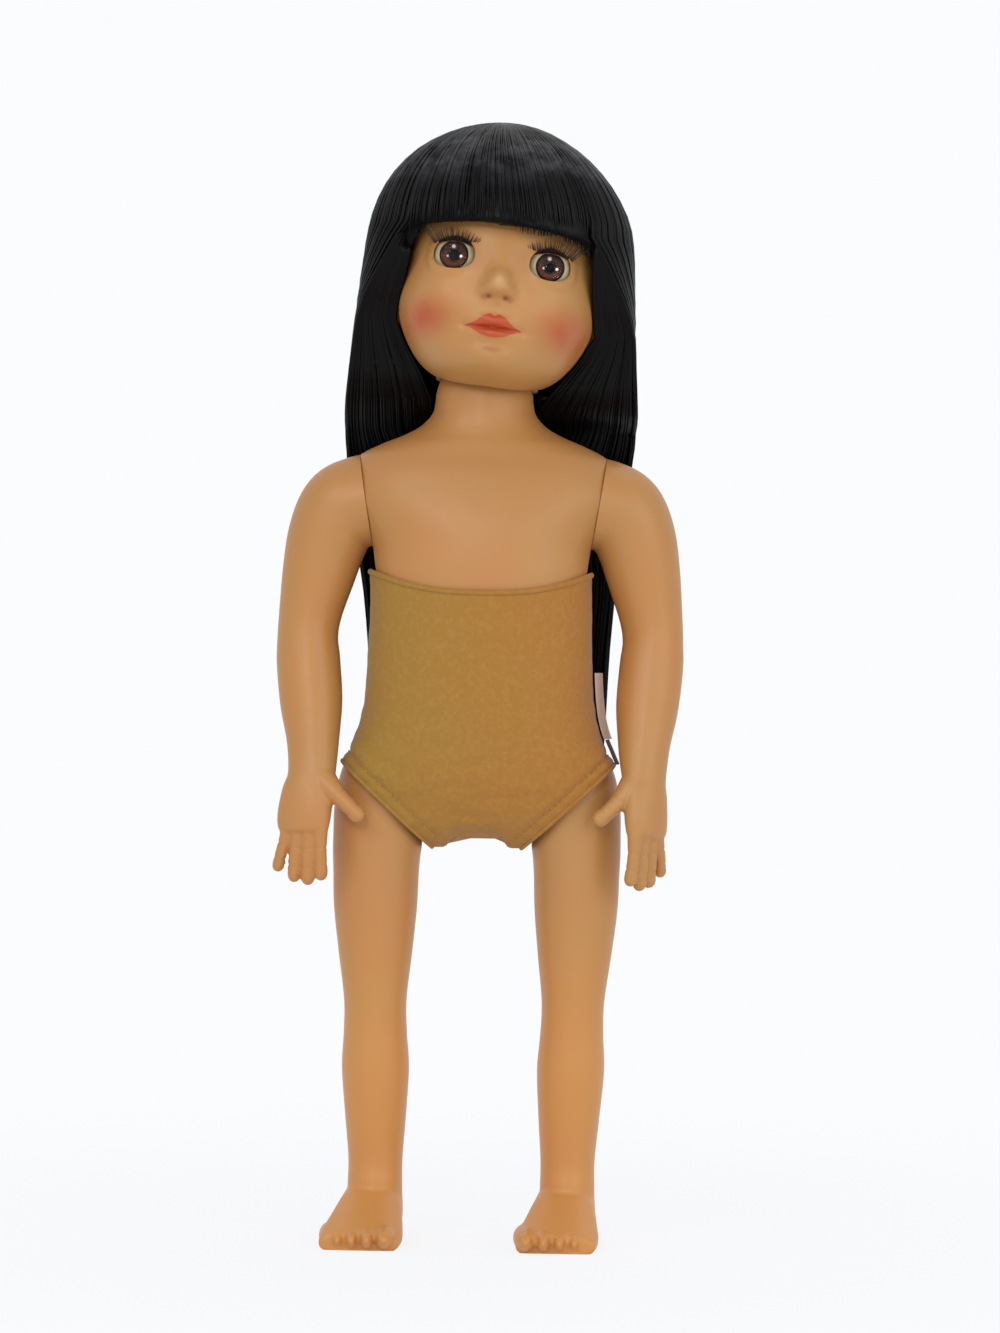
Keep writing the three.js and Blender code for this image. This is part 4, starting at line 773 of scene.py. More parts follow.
def make_eye_white(colours):
    material, tree, shader, height = finish(
        "eye_white", {"Coat Weight": 0.8, "Coat Roughness": 0.06, "Subsurface Weight": 0.05,
                      "Subsurface Scale": 0.002}, 0.05, 0.0001)
    cloud = tree.noise(tree.object_place(), 300, 3)
    tone = tree.blend(tree.step(cloud, 0.4, 0.75), colours.eye_white, linear(184, 164, 132))
    paint(tree, shader, height, tone, tree.line(cloud, 0.1, 0.18), cloud)
    return material


def make_glass():
    """Clear glass whose shadow doesn't darken the iris behind it."""
    settings = {"Base Color": WHITE, "Roughness": 0.01, "IOR": 1.1, "Transmission Weight": 1.0}
    material, tree, shader, _ = finish("cornea_glass", settings)
    ray = tree.add("ShaderNodeLightPath").outputs["Is Shadow Ray"]
    surface(tree, material, ray, shader, tree.add("ShaderNodeBsdfTransparent"))
    return material


def make_lid(colours):
    """Lid vinyl with a dark edge: a painted lash line that also stands in for the shade that the lid and
    lashes cast.
    """
    material, tree, shader, height = finish("lid_vinyl", VINYL, 0.08, 0.0001)
    vinyl = tree.effect("Moulded Vinyl", {"Tone": colours.warm_skin, "Warm Tone": colours.skin})
    # A painted lash line along the lid's edge, also painted shade of the lid and lashes
    edge = tree.step(tree.apart(tree.uv())[1], 0.16, 0.08)
    dress(tree, shader, height, vinyl, tree.tint(vinyl["Color"], linear(20, 10, 7), edge, 0.97))
    return material


def make_fibre(name, tone):
    material, tree, shader, height = finish(name, {"Specular IOR Level": 0.4}, 0.2, 0.0001)
    dress(tree, shader, height, tree.effect("Strand Streaks", {
        "Dark": tone, "Light": shade(tone, 2.2), "Across": 2500.0, "Along": 60.0}))
    return material


def make_metal(name, rgb, roughness):
    """Metal with fine scratches across its height."""
    material, tree, shader, height = finish(name, {"Metallic": 1.0}, 0.15, 0.0001)
    place = tree.add("ShaderNodeMapping", {"Vector": tree.object_place(), "Scale": (1, 1, 8)})
    scratch = tree.noise(place.outputs[0], 260, 4, 0.6)
    bright = linear(*rgb)
    tone = tree.blend(tree.step(scratch, 0.35, 0.75), bright, shade(bright, 0.6))
    paint(tree, shader, height, tone, tree.line(scratch, 0.3, roughness), scratch)
    return material


# Head


FACE_FORMS = (
    # across, up, half width, half height, push forward
    (0, -42, 15, 10, 10.5),
    (0, -24, 20, 12, 2.2),
    (26, -19, 12, 12, 2.4),
    (18, 2, 9, 7, -1.6),
    (0, -10, 5.0, 4.8, 6.6),
    (0, -3, 4.6, 7.5, 2.0),
    (4.6, -13, 2.8, 2.6, 2.4),
    (0, -13.8, 3.0, 2.0, 1.9),
    (3.1, -16.1, 1.3, 0.8, -1.5),
    (0, -19.6, 1.5, 2.8, -0.6),
    (3.1, -24.8, 5.2, 1.9, 1.6),
    (0, -25.8, 2.2, 1.7, 0.8),
    (0, -27.9, 9.5, 0.8, -1.4),
    (0, -30.4, 6.2, 2.1, 2.8),
    (0, -35.2, 8, 2.2, -0.9),
    (12, -27.6, 1.8, 1.6, -0.8),
)


def eye_place(sign):
    """The frame of one eyeball inside the head's frame."""
    return (
        Matrix.Translation((sign * EYE_SPACING / 2, EYE_DEPTH, 0))
        @ Matrix.Rotation(sign * EYE_YAW, 4, "Z")
    )


def head_point(direction):
    """The point of the head's skin towards a direction from its middle, in its own frame."""
    depth = HEAD_HALF_WIDTH if direction.y < 0 else HEAD_BACK
    height = HEAD_BOTTOM if direction.z < 0 else HEAD_TOP
    size = (abs(direction.x / HEAD_HALF_WIDTH) ** HEAD_FULLNESS
            + abs(direction.y / depth) ** HEAD_FULLNESS
            + abs(direction.z / height) ** HEAD_FULLNESS)
    point = direction * size ** (-1 / HEAD_FULLNESS) + HEAD_MIDDLE
    facing = smoothstep(-direction.y, 0.1, 0.45)
    widening = math.exp(-(((point.z + 19) / 13) ** 2))
    sideways = abs(point.x) / HEAD_HALF_WIDTH
    point.x += math.copysign(2 * widening * sideways * sideways, point.x)
    from_throat = math.hypot(point.x, point.y - PIVOT_IN_HEAD.y) / 26
    if point.z < HEAD_MIDDLE.z:
        point.z += 7 * math.exp(-from_throat * from_throat)
    side, up = abs(point.x), point.z
    push = 0
    for across, height, wide, high, forward in FACE_FORMS:
        push += forward * math.exp(-((side - across) / wide) ** 2 - ((up - height) / high) ** 2)
    point.y -= facing * push
    if facing > 0:
        from_eye = math.hypot(side - EYE_SPACING / 2, up)
        if from_eye < SOCKET_RADIUS:
            bulge = EYE_DEPTH - math.sqrt(SOCKET_RADIUS ** 2 - from_eye ** 2)
            near = max(0.0, 3.5 - abs(point.y - bulge)) / 3.5
            point.y = min(point.y, bulge) - near * near * 3.5 / 4
    reach = math.hypot((point.y - 3) / 6.5, (up + 13) / 9.5)
    ear = 3.4 * smoothstep(reach, 1.2, 0.8) if side > 25 else 0
    if ear:
        dent = math.exp(-((point.y - 2) / 2.6) ** 2 - ((up + 11) / 4) ** 2)
        point.x += math.copysign(ear - 2 * dent, point.x)
    return point


def eye_reach(local):
    """How far a point of an eye's frame is from its middle, 1 at the edge of the opening."""
    height = EYE_ABOVE if local.z > 0 else EYE_BELOW
    return math.sqrt(abs(local.x / EYE_HALF_WIDTH) ** 2 + abs(local.z / height) ** 2.2)


def rim(bm, edges, moves):
    """Draws an open edge inwards, once for each way of moving its points."""
    for move in moves:
        grown = bmesh.ops.extrude_edge_only(bm, edges=edges)["geom"]
        for vert in (item for item in grown if isinstance(item, bmesh.types.BMVert)):
            vert.co = move(vert.co)
        edges = [item for item in grown if isinstance(item, bmesh.types.BMEdge) and item.is_boundary]
        edges = [edge for edge in edges if all(vert in grown for vert in edge.verts)]


def open_eye(bm, sign):
    """Cuts the almond opening of one eye and rolls its edge in towards the eyeball."""
    place = eye_place(sign)
    back = place.inverted()
    gone = []
    for vert in bm.verts:
        local = back @ vert.co
        if local.y < 0 and eye_reach(local) < 1:
            gone.append(vert)
    bmesh.ops.delete(bm, geom=gone, context="VERTS")

    def moved(co, share, depth):
        local = back @ co
        reach = eye_reach(local)
        local.x *= share / reach
        local.z *= share / reach
        if depth is not None:
            local.y = -math.sqrt(max(1, depth * depth - local.x ** 2 - local.z ** 2))
        return place @ local

    edges = [edge for edge in open_edges(bm) if all(
        (back @ vert.co).y < 0 and eye_reach(back @ vert.co) < 1.5 for vert in edge.verts)]
    border = {vert for edge in edges for vert in edge.verts}
    for vert in border:
        vert.co = moved(vert.co, 1, None)
    near = [vert for vert in bm.verts
            if vert not in border and (back @ vert.co).y < 0 and eye_reach(back @ vert.co) < 1.3]
    for _ in range(4):
        bmesh.ops.smooth_vert(
            bm, verts=near, factor=0.5, use_axis_x=True, use_axis_y=True, use_axis_z=True)

    def first(co):
        local = back @ moved(co, 0.97, None)
        local.y += 0.3
        return place @ local

    def second(co):
        local = back @ moved(co, 0.95, None)
        local.y = max(local.y, -math.sqrt(LID_OUTER ** 2 + 12 - local.x ** 2 - local.z ** 2)) + 0.2
        return place @ local

    rim(bm, edges, (
        first,
        second,
        lambda co: moved(co, 0.97, LID_OUTER + 0.3),
    ))


def open_neck(bm):
    """Cuts the round hole under the chin that the neck's dome sits in."""
    gone = [vert for vert in bm.verts if (vert.co - PIVOT_IN_HEAD).length < NECK_HOLE]
    bmesh.ops.delete(bm, geom=gone, context="VERTS")
    edges = [edge for edge in open_edges(bm)
             if all((vert.co - PIVOT_IN_HEAD).length < NECK_HOLE + 4 for vert in edge.verts)]
    for vert in {vert for edge in edges for vert in edge.verts}:
        vert.co = PIVOT_IN_HEAD + (vert.co - PIVOT_IN_HEAD).normalized() * NECK_HOLE

    def raised(by):
        def move(co):
            lifted = co - PIVOT_IN_HEAD + Vector((0, 0, by))
            return PIVOT_IN_HEAD + lifted.normalized() * NECK_HOLE
        return move

    rim(bm, edges, (raised(0.8), raised(3), raised(5)))


def head_shell():
    def place(across, along):
        angle = 2 * math.pi * across - math.pi
        nearer = angle - 0.42 * math.sin(angle)
        polar = math.pi * along
        return head_point(Vector((
            math.sin(polar) * math.sin(nearer),
            -math.sin(polar) * math.cos(nearer),
            math.cos(polar),
        )))

    bm = merge(sheet(210, 190, place))
    for _, sign in SIDES:
        open_eye(bm, sign)
    open_neck(bm)
    faced_out(bm)
    face_map = bm.loops.layers.uv.new("face")
    for face in bm.faces:
        for loop in face.loops:
            loop[face_map].uv = (0.5 + loop.vert.co.x / FACE_MAP, 0.5 + loop.vert.co.z / FACE_MAP)
    return turned_into(bm, HEAD_PLACE)


def turned(profile, steps=64):
    """A round shape about the Y axis from [radius, distance forward] points, with a face map."""
    bm = bmesh.new()
    uv = bm.loops.layers.uv.new("UVMap")
    points = [bm.verts.new((radius, -forward, 0)) for radius, forward in profile]
    edges = [bm.edges.new(pair) for pair in zip(points, points[1:])]
    bmesh.ops.spin(bm, geom=points + edges, cent=(0, 0, 0), axis=(0, 1, 0), dvec=(0, 0, 0),
                   angle=2 * math.pi, steps=steps, use_merge=True, use_duplicate=False)
    merge(bm)
    faced_out(bm)
    widest = max(radius for radius, _ in profile)
    for face in bm.faces:
        for loop in face.loops:
            loop[uv].uv = (0.5 + loop.vert.co.x / (2 * widest), 0.5 + loop.vert.co.z / (2 * widest))
    return bm


def arc(radius, start, end, steps, middle=0.0):
    """[radius, forward] points of an arc between two angles from straight ahead."""
    angles = [math.radians(mix(start, end, step / steps)) for step in range(steps + 1)]
    return [(radius * math.sin(angle), middle + radius * math.cos(angle)) for angle in angles]


def eyeball():
    edge = math.degrees(math.asin(IRIS_RADIUS / BALL_RADIUS))
    seat = [(IRIS_RADIUS, 7.9), (IRIS_RADIUS - 0.05, 7.2), (0, 7.2)]
    return turned(arc(BALL_RADIUS, 180, edge, 26) + seat)


def iris():
    return turned([
        (PUPIL_RADIUS + 0.15, 7.4), (5.8, 7.4), (5.8, 8.3), (5.1, 8.12), (4, 7.9), (3, 7.75),
        (PUPIL_RADIUS + 0.15, 7.7), (PUPIL_RADIUS + 0.15, 7.4)])


def pupil():
    rim_radius = PUPIL_RADIUS + 0.1
    return turned([(0, 7.3), (rim_radius, 7.3), (rim_radius, 7.62), (1, 7.68), (0, 7.7)], 40)


def cornea():
    dome = 8.4
    middle = 10.38 - dome
    edge = math.degrees(math.asin(5.82 / dome))
    return turned([(0, 8.4), (3, 8.42)] + arc(dome, edge, 0, 16, middle))


def lid_direction(polar, lift):
    """A direction from the eye's middle, at an angle along its pivot line and one up from ahead."""
    return Vector((
        math.cos(polar), -math.sin(polar) * math.cos(lift), math.sin(polar) * math.sin(lift)))


def eyelid():
    """The half shell that rolls down over the eyeball, turned about the eye's pivot line."""
    def place(across, along):
        polar = math.pi * mix(0.03, 0.97, across)
        outside = along <= 0.5
        share = along / 0.5 if outside else (1 - along) / 0.5
        lift = LID_EDGE + math.radians(100) * share
        radius = LID_OUTER if outside else LID_INNER
        if share < 0.03:
            radius = mix(LID_INNER, LID_OUTER, 0.5 + (0.35 if outside else -0.35))
        return radius * lid_direction(polar, lift)

    return faced_out(tube(56, 64, place))


def strands(count, heights, path, sides=5):
    """Closed fibres in one mesh. path(fibre, ring) gives a middle point and two half axes."""
    wide = sides + 1
    columns = count * wide - 1
    rings = len(heights) - 1
    bm = bmesh.new()
    uv = bm.loops.layers.uv.new("UVMap")
    bmesh.ops.create_grid(bm, x_segments=columns, y_segments=rings, size=1)
    gaps = []
    for face in bm.faces:
        places = [round((loop.vert.co.x + 1) / 2 * columns) for loop in face.loops]
        if min(places) % wide == sides:
            gaps.append(face)
            continue
        for loop, column in zip(face.loops, places):
            ring = (loop.vert.co.y + 1) / 2
            fibre, side = divmod(column, wide)
            loop[uv].uv = (0.0137 * fibre + 0.003 * side / sides, 0.3 * ring + 0.05 * fibre)
    bmesh.ops.delete(bm, geom=gaps, context="FACES")
    known = {}
    for vert in bm.verts:
        fibre, side = divmod(round((vert.co.x + 1) / 2 * columns), wide)
        ring = round((vert.co.y + 1) / 2 * rings)
        if (fibre, ring) not in known:
            known[fibre, ring] = path(fibre, ring)
        middle, first, second = known[fibre, ring]
        angle = 2 * math.pi * side / sides
        vert.co = middle + first * math.cos(angle) + second * math.sin(angle)
    merge(bm, 0.00005)
    return faced_out(drop_lone(bm))


def lashes(sign, length, count):
    """A fan of curved lashes along the lid's edge, longer towards the outer corner."""
    rng = random.Random(11 + sign)
    plans = []
    for index in range(count):
        share = (index + 0.5) / count + rng.uniform(-0.006, 0.006)
        polar = math.pi * mix(0.23, 0.77, share)
        outer = sign * math.cos(polar)
        root = (LID_INNER + 0.2) * lid_direction(polar, LID_EDGE)
        reach = length * rng.uniform(0.72, 1.0) * (0.86 + 0.26 * outer)
        lean = (0.86 + 0.3 * outer) * math.cos(polar) + rng.uniform(-0.14, 0.14)
        bend = root + reach * Vector((0.3 * lean, -0.46, 0.2))
        tip = root + reach * Vector((lean, -0.58, 0.8 + rng.uniform(-0.06, 0.06)))
        plans.append((root, bend, tip))
    rings = list(range(9))

    def path(fibre, ring):
        root, bend, tip = plans[fibre]
        share = ring / (len(rings) - 1)
        middle = root.lerp(bend, share).lerp(bend.lerp(tip, share), share)
        heading = (bend - root).lerp(tip - bend, share).normalized()
        first = heading.cross(Vector((0, 0, 1))).normalized()
        thick = 0 if ring == 0 or share == 1 else 0.29 * (1 - 0.72 * share)
        return middle, first * thick, heading.cross(first) * thick

    return strands(count, rings, path, 4)


# Wig


HAIR_STATIONS = (
    # height, middle, half width, front, back, fullness
    (187, 3.6, 51, 60, 43, 6),
    (205, 3.6, 51.5, 60, 43.5, 6),
    (240, 3.4, 52.2, 60, 44, 6),
    (268, 3.0, 54.2, 60, 45, 5.8),
    (282, 1.5, 55.6, 60, 45.6, 5.4),
    (296, 0.7, 57.2, 60, 46.2, 5.1),
    (311, 1.7, 60.4, 59.6, 47.2, 4.6),
    (322, 2.4, 61.4, 59, 48, 4.2),
    (335, 2.5, 60.8, 58, 49, 3.5),
    (350, 2.8, 59.4, 56, 49.8, 2.9),
    (366, 3.4, 58, 54, 50.5, 2.5),
    (392, 4.5, 56.2, 51.5, 51, 2.22),
    (412, 5.2, 54, 49.5, 50, 2.15),
    (425, 4.6, 49.6, 46.5, 47.5, 2.15),
    (436, 4, 42.6, 40.5, 42.5, 2.15),
    (445, 3.8, 33.4, 32, 35, 2.15),
    (451.5, 4.2, 22.5, 22, 25, 2.15),
    (455.5, 5, 11, 11, 13, 2.15),
    (457, 5.5, 2, 2, 3, 2.15),
)
HAIR_TOP = 457
HAIR_HEM = 187
# The wig's outer form is worked out in rows from this height up, a number of them to the millimetre.
ROWS_FROM = 180
ROWS_PER_MM = 2
CURTAIN_TOP = 346
CURTAIN_INSET = 1.6
FRINGE_SIDE = 408.5
CROWN_TOPS = (457, 456.6, 455.6, 453.5, 450, 446, 439)
HAIR_SOLIDS = ("hair_crown", "hair_fringe", "hair_left", "hair_right", "hair_back", "hair_fall")
# The hair's front edge beside the face: height, depth and inner reach in the head's frame.
FACE_EDGE = ((14, -38, 36), (6, -33, 36.5), (-2, -28, 37.5), (-12, -19, 39), (-20, -7, 41.5),
             (-30, 0, 36), (-41, 4.5, 28), (-50, 14, 22))
# The same edge lower down: height, depth and inner reach in the doll's frame.
BODY_EDGE = ((332, 20.5, 21), (322, 28.5, 12), (310, 31.5, 0), (262, 32, 0),
             (232, 33.6, 0), (200, 35.4, 0), (180, 35.4, 0))
# The fringe's hem: place across and height in the doll's frame.
FRINGE_HEM = ((-40, 397), (-33, 404.5), (-28.3, 408.6), (-23, 410.6), (-9, 411.6), (3.5, 411.8),
              (9, 410), (14, 407.6), (21.4, 406.3), (29, 405.6), (34.5, 403), (39, 400.4), (46, 392))
NECK_ZONES = (
    # lower height, upper height, body below, body above
    (319, 331, "torso", "neck_turn"),
    (331, 350, "neck_turn", "neck_tilt"),
    (350, 363, "neck_tilt", "head"),
)
LEVELS = (
    [187, 190, 195, 202] + [210 + 11 * step for step in range(10)] + [314, 318]
    + [320 + 3 * step for step in range(14)] + [363, 369, 376, 384, 392, 400, 407, 413, 419, 425]
    + [431, 436, 441, 445, 448.5, 451.5, 453.8, 455.5, 456.5, 457]
)


def hair_rows():
    """Rows of the wig's outer form, every half millimetre of height."""
    count = ROWS_PER_MM * (HAIR_TOP - ROWS_FROM) + 1
    return [at_height(HAIR_STATIONS, ROWS_FROM + step / ROWS_PER_MM) for step in range(count)]


def edge_lines(sign):
    """Depth and inner reach of the front edge by height, for one side."""
    depths, reaches = [], []
    for up, depth, reach in FACE_EDGE:
        point = HEAD_PLACE @ Vector((sign * reach, depth, up))
        depths.append((point.z, point.y))
        reaches.append((point.z, point.x))
    for height, depth, reach in BODY_EDGE:
        if height < min(z for z, _ in depths) - 1:
            depths.append((height, depth))
            reaches.append((height, sign * reach))
    return sorted(depths), sorted(reaches)


class Wig:
    """The wig's outer form and front edges, for laying strands on it."""

    def __init__(self):
        self.rows = hair_rows()
        self.edges = {sign: edge_lines(sign) for _, sign in SIDES}

    def row(self, height):
        position = min(len(self.rows) - 1.001, max(0.0, (height - ROWS_FROM) * ROWS_PER_MM))
        index = int(position)
        low, high = self.rows[index], self.rows[index + 1]
        return [mix(a, b, position - index) for a, b in zip(low, high)]

    def front_angle(self, height, sign):
        """The outline's angle at the front edge, from the side axis towards the face."""
        _, _, _, front, back, fullness = self.row(height)
        depth = on_line(self.edges[sign][0], height)
        if height > 408:
            depth = -0.76 * front
        reach = front if depth < 0 else back
        sine = min(1, abs(depth) / reach) ** (fullness / 2)
        return math.copysign(math.asin(sine), depth)

    def point(self, height, angle, sign, inset):
        _, middle, half, front, back, fullness = self.row(height)
        inset = min(inset, half * 0.5)
        side, depth = outline(angle, half - inset, front - inset, back - inset, fullness)
        return Vector((middle + sign * side, depth, height))


def crown_tops(share, rng):
    """Where a strand from the crown starts."""
    return rng.choice(CROWN_TOPS)


def lay(count, place, tops, hems, width, seed, thick=0.42):
    """Lays flattened strands down a surface given by place(height, share)."""
    rng = random.Random(seed)
    plans = []
    for index in range(count):
        share = (index + rng.uniform(0.1, 0.9)) / count
        plans.append({
            "share": share,
            "top": tops(share, rng),
            "hem": hems(share, rng),
            "inset": rng.uniform(0.2, 1.9),
            "width": width * rng.uniform(0.6, 1.15) / 2,
            "phase": rng.uniform(0, 6.28),
            "sway": rng.uniform(0.0002, 0.0026),
        })

    def path(fibre, ring):
        plan = plans[fibre]
        height = min(plan["top"], max(plan["hem"], LEVELS[ring]))
        below = smoothstep(height, 330, 230)
        sway = plan["sway"] * (0.5 + 1.6 * below)
        share = plan["share"] + sway * math.sin(height / 24 + plan["phase"])
        share = min(0.999, max(0.0, share))
        here = place(height, share, plan["inset"])
        beside = place(height, min(1, share + 0.012), plan["inset"])
        under = place(height - 1.5, share, plan["inset"])
        along = (beside - here)
        along = along.normalized() if along.length > 1e-6 else Vector((1, 0, 0))
        down = (under - here).normalized()
        out = along.cross(down)
        out = out.normalized() if out.length > 1e-6 else Vector((0, 1, 0))
        from_top = max(0.0, plan["top"] - height)
        from_hem = max(0.0, height - plan["hem"])
        taper = min(1, from_top / 3) * min(1, (from_hem / 14) ** 0.7)
        if 0 < from_hem < 14:
            taper = max(taper, 0.25)
        return here, along * plan["width"] * taper, out * thick * taper

    return strands(count, LEVELS, path)


def side_strands(wig, sign, count, width, seed):
    """The outer layer of one side, from the front edge round to the middle of the back."""
    def place(height, share, inset=0.0):
        start = wig.front_angle(height, sign)
        return wig.point(height, mix(start, math.pi / 2, share), sign, inset)

    def hems(share, rng):
        return HAIR_HEM + rng.uniform(0, 3.2) + 5 * rng.random() ** 4

    return lay(count, place, crown_tops, hems, width, seed)


def fringe_strands(wig, count, width, seed):
    """The fringe, from the crown down over the forehead to its blunt hem."""
    def place(height, share, inset=0.0):
        side_height = max(height, FRINGE_SIDE)
        right = math.pi + abs(wig.front_angle(side_height, -1))
        left = 2 * math.pi - abs(wig.front_angle(side_height, 1))
        angle = mix(right, left, share)
        tuck = 2.6 * smoothstep(height, 420, 398)
        return wig.point(height, angle, 1, inset + tuck)

    def hems(share, rng):
        guess = place(406, share)
        return on_line(FRINGE_HEM, guess.x) + rng.uniform(-0.7, 1.6)

    return lay(count, place, crown_tops, hems, width, seed, 0.36)


def edge_strands(wig, sign, count, width, seed):
    """The strands that show between the face and the outer layer, and down the curtain's front."""
    depths, reaches = wig.edges[sign]

    def place(height, share, inset=0.0):
        outer = wig.point(height, wig.front_angle(height, sign), sign, 0.6)
        inner = on_line(reaches, height)
        depth = on_line(depths, height) + inset
        return Vector((mix(outer.x, inner, share), max(outer.y, depth - 0.5), height))

    def tops(share, rng):
        return 409 - 6 * share + rng.uniform(-3, 1)

    def hems(share, rng):
        return HAIR_HEM + rng.uniform(0, 4)

    return lay(count, place, tops, hems, width, seed)


def crown_strands(wig, count, width, seed):
    """Short strands over the very top, running out from the parting."""
    def place(height, share, inset=0.0):
        angle = 2 * math.pi * share
        _, middle, half, front, back, fullness = wig.row(height)
        half, front, back = (max(reach - inset, 0.4) for reach in (half, front, back))
        side, depth = outline(angle, half, front, back, fullness)
        return Vector((middle + side, depth, height))

    def tops(share, rng):
        return HAIR_TOP

    def hems(share, rng):
        return rng.uniform(414, 440)

    return lay(count, place, tops, hems, width, seed, 0.3)


def curtain(wig):
    """The dense body of the wig below the jaw, behind the neck and the shoulders."""
    def place(across, along):
        height = mix(HAIR_HEM + 1.5, CURTAIN_TOP, along)
        starts = {sign: wig.front_angle(height, sign) for _, sign in SIDES}
        if across <= 0.6:
            angle = mix(starts[1], math.pi - starts[-1], across / 0.6)
            return wig.point(height, angle, 1, CURTAIN_INSET)
        left = wig.point(height, starts[1], 1, CURTAIN_INSET)
        right = wig.point(height, starts[-1], -1, CURTAIN_INSET)
        here = right.lerp(left, (across - 0.6) / 0.4)
        _, half, _, back, y, _ = at_height(PLATE_STATIONS, height)
        spare = 1 - (here.x / (half + 1.5)) ** 2
        if spare > 0:
            here.y = max(here.y, y + (back + 1.5) * math.sqrt(spare))
        here.y += 1.2
        return here

    return faced_out(tube(150, 80, place))


def hair_base(wig):
    """The dense body of the wig under its outer strands."""
    bm = even_skin(copy_of(*HAIR_SOLIDS), 1.6, 8, ("DISPLACE", {"strength": -0.9, "mid_level": 0.0}))
    return add_to(cut(bm, (0, 0, 341), (0, 0, -1)), curtain(wig))


def between(bm, low, high):
    """A copy of what lies between two heights, with its cut ends filled."""
    piece = bm.copy()
    if low is not None:
        cut(piece, (0, 0, low), (0, 0, -1))
    if high is not None:
        cut(piece, (0, 0, high), (0, 0, 1))
    return drop_lone(piece)


def hang(name, bm, material, stands_for=()):
    """Splits a hanging part of the wig at the neck's joints: the top rides on the head, the pieces between
    the joints on nothing, and the rest on the torso.
    """
    top = between(bm, NECK_ZONES[-1][1], None)
    keep(name + "_head", top, material, "hair_fibre", "head", stands_for)
    for number, (low, high, lower, upper) in enumerate(NECK_ZONES):
        part = between(bm, low, high)
        if not part.faces:
            part.free()
            continue
        piece = keep(f"{name}_nape_{number + 1}", part, material, "hair_fibre")
        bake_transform(piece)
    rest = between(bm, None, NECK_ZONES[0][0])
    if rest.faces:
        keep(name + "_fall", rest, material, "hair_fibre", "torso")
    bm.free()


# Shoulder plate, arms and legs


PLATE_STATIONS = (
    # height, half width, front, back, depth of the middle, fullness
    (249, 43.6, 33.2, 28.8, 0, 2.5),
    (262, 43.8, 33.4, 29, 0, 2.5),
    (274, 44, 33.4, 29.6, 0, 2.5),
    (284, 45, 33, 30, 0, 2.4),
    (293, 50, 32, 30, 0, 2.3),
    (303, 56, 30, 29, 0.5, 2.3),
    (313, 55, 27, 27, 1, 2.3),
    (320, 51, 24, 25, 1.5, 2.2),
    (325, 42, 22.5, 24, 2, 2.1),
    (329, 32.5, 21.5, 22.8, 2.6, 2),
    (333, 25.6, 20.8, 21.6, 3, 2),
    (338, 21.2, 20.2, 20.4, 3, 2),
    (343, 20, 20, 20, 3, 2),
)
SHOULDER = Vector((47.5, 0, 303))
SHOULDER_GAP = 0.15
SHOULDER_OUT = Vector((math.cos(SHOULDER_SLANT), 0, -math.sin(SHOULDER_SLANT)))


def plate_skin(inset):
    """The plate's outer skin, or an inner one at an inset, open below and at the neck."""
    ball = 20 - inset
    hole = math.asin(10.2 / ball)

    def place(across, along):
        angle = 2 * math.pi * across
        if along <= 0.8:
            z, half, front, back, y, fullness = through(PLATE_STATIONS, along / 0.8)
            side, depth = outline(angle, half - inset, front - inset, back - inset, fullness)
            return Vector((side, y + depth, z))
        polar = mix(math.pi / 2, hole, (along - 0.8) / 0.2)
        return NECK_PIVOT + ball * Vector((
            math.sin(polar) * math.cos(angle), math.sin(polar) * math.sin(angle), math.cos(polar)))

    bm = merge(sheet(120, 100, place))
    for _, sign in SIDES:
        out = Vector((sign * SHOULDER_OUT.x, 0, SHOULDER_OUT.z))
        point = Vector((sign * SHOULDER.x, 0, SHOULDER.z)) - inset * out
        cut(bm, point, out)
    return faced_out(bm)


def soften(bm, edges, width, segments=3):
    bmesh.ops.bevel(bm, geom=edges, offset=width, offset_type="OFFSET", segments=segments,
                    profile=0.5, affect="EDGES", material=-1, clamp_overlap=True)
    return bm


def shoulder_plate():
    bm = plate_skin(0)
    inner = plate_skin(2.5)
    bmesh.ops.reverse_faces(inner, faces=inner.faces)
    add_to(bm, inner)
    for low, high in ((240, 250), (350, 370)):
        edges = [edge for edge in open_edges(bm) if low < edge.verts[0].co.z < high]
        bmesh.ops.bridge_loops(bm, edges=edges)
    sharp = []
    for edge in bm.edges:
        if len(edge.link_faces) == 2 and edge.calc_face_angle() > 0.6:
            x, z = abs(edge.verts[0].co.x), edge.verts[0].co.z
            if x > 46 and 280 < z < 325:
                sharp.append(edge)
    return soften(bm, sharp, 0.7)


PALM = {"left": 68.6, "right": 70.2}
PALM_HEIGHT = 165.5
PALM_DEPTH = -21.6
THUMB_RADIUS = 3.6
HAND_TURN = {"left": -48, "right": -16}
FINGERS = (
    # across the palm, splay, length, radius
    (-7.4, 0, 18, 3),
    (-2.5, 0.8, 20, 3.1),
    (2.4, 1.8, 19, 3),
    (7, 4.5, 15, 2.7),
)
THUMBS = {
    "left": ((-3.4, -18, 24.5), (-7.8, -21.6, 19.6), (-13.2, -24.6, 14.2), (-18.2, -26, 9.8),
             (-21.6, -26.6, 6.9)),
    "right": ((-4.4, -16.6, 25), (-9.8, -20.8, 20), (-16.2, -24.2, 14.4), (-21.2, -25.8, 9.9),
              (-24.6, -26.4, 6.9)),
}


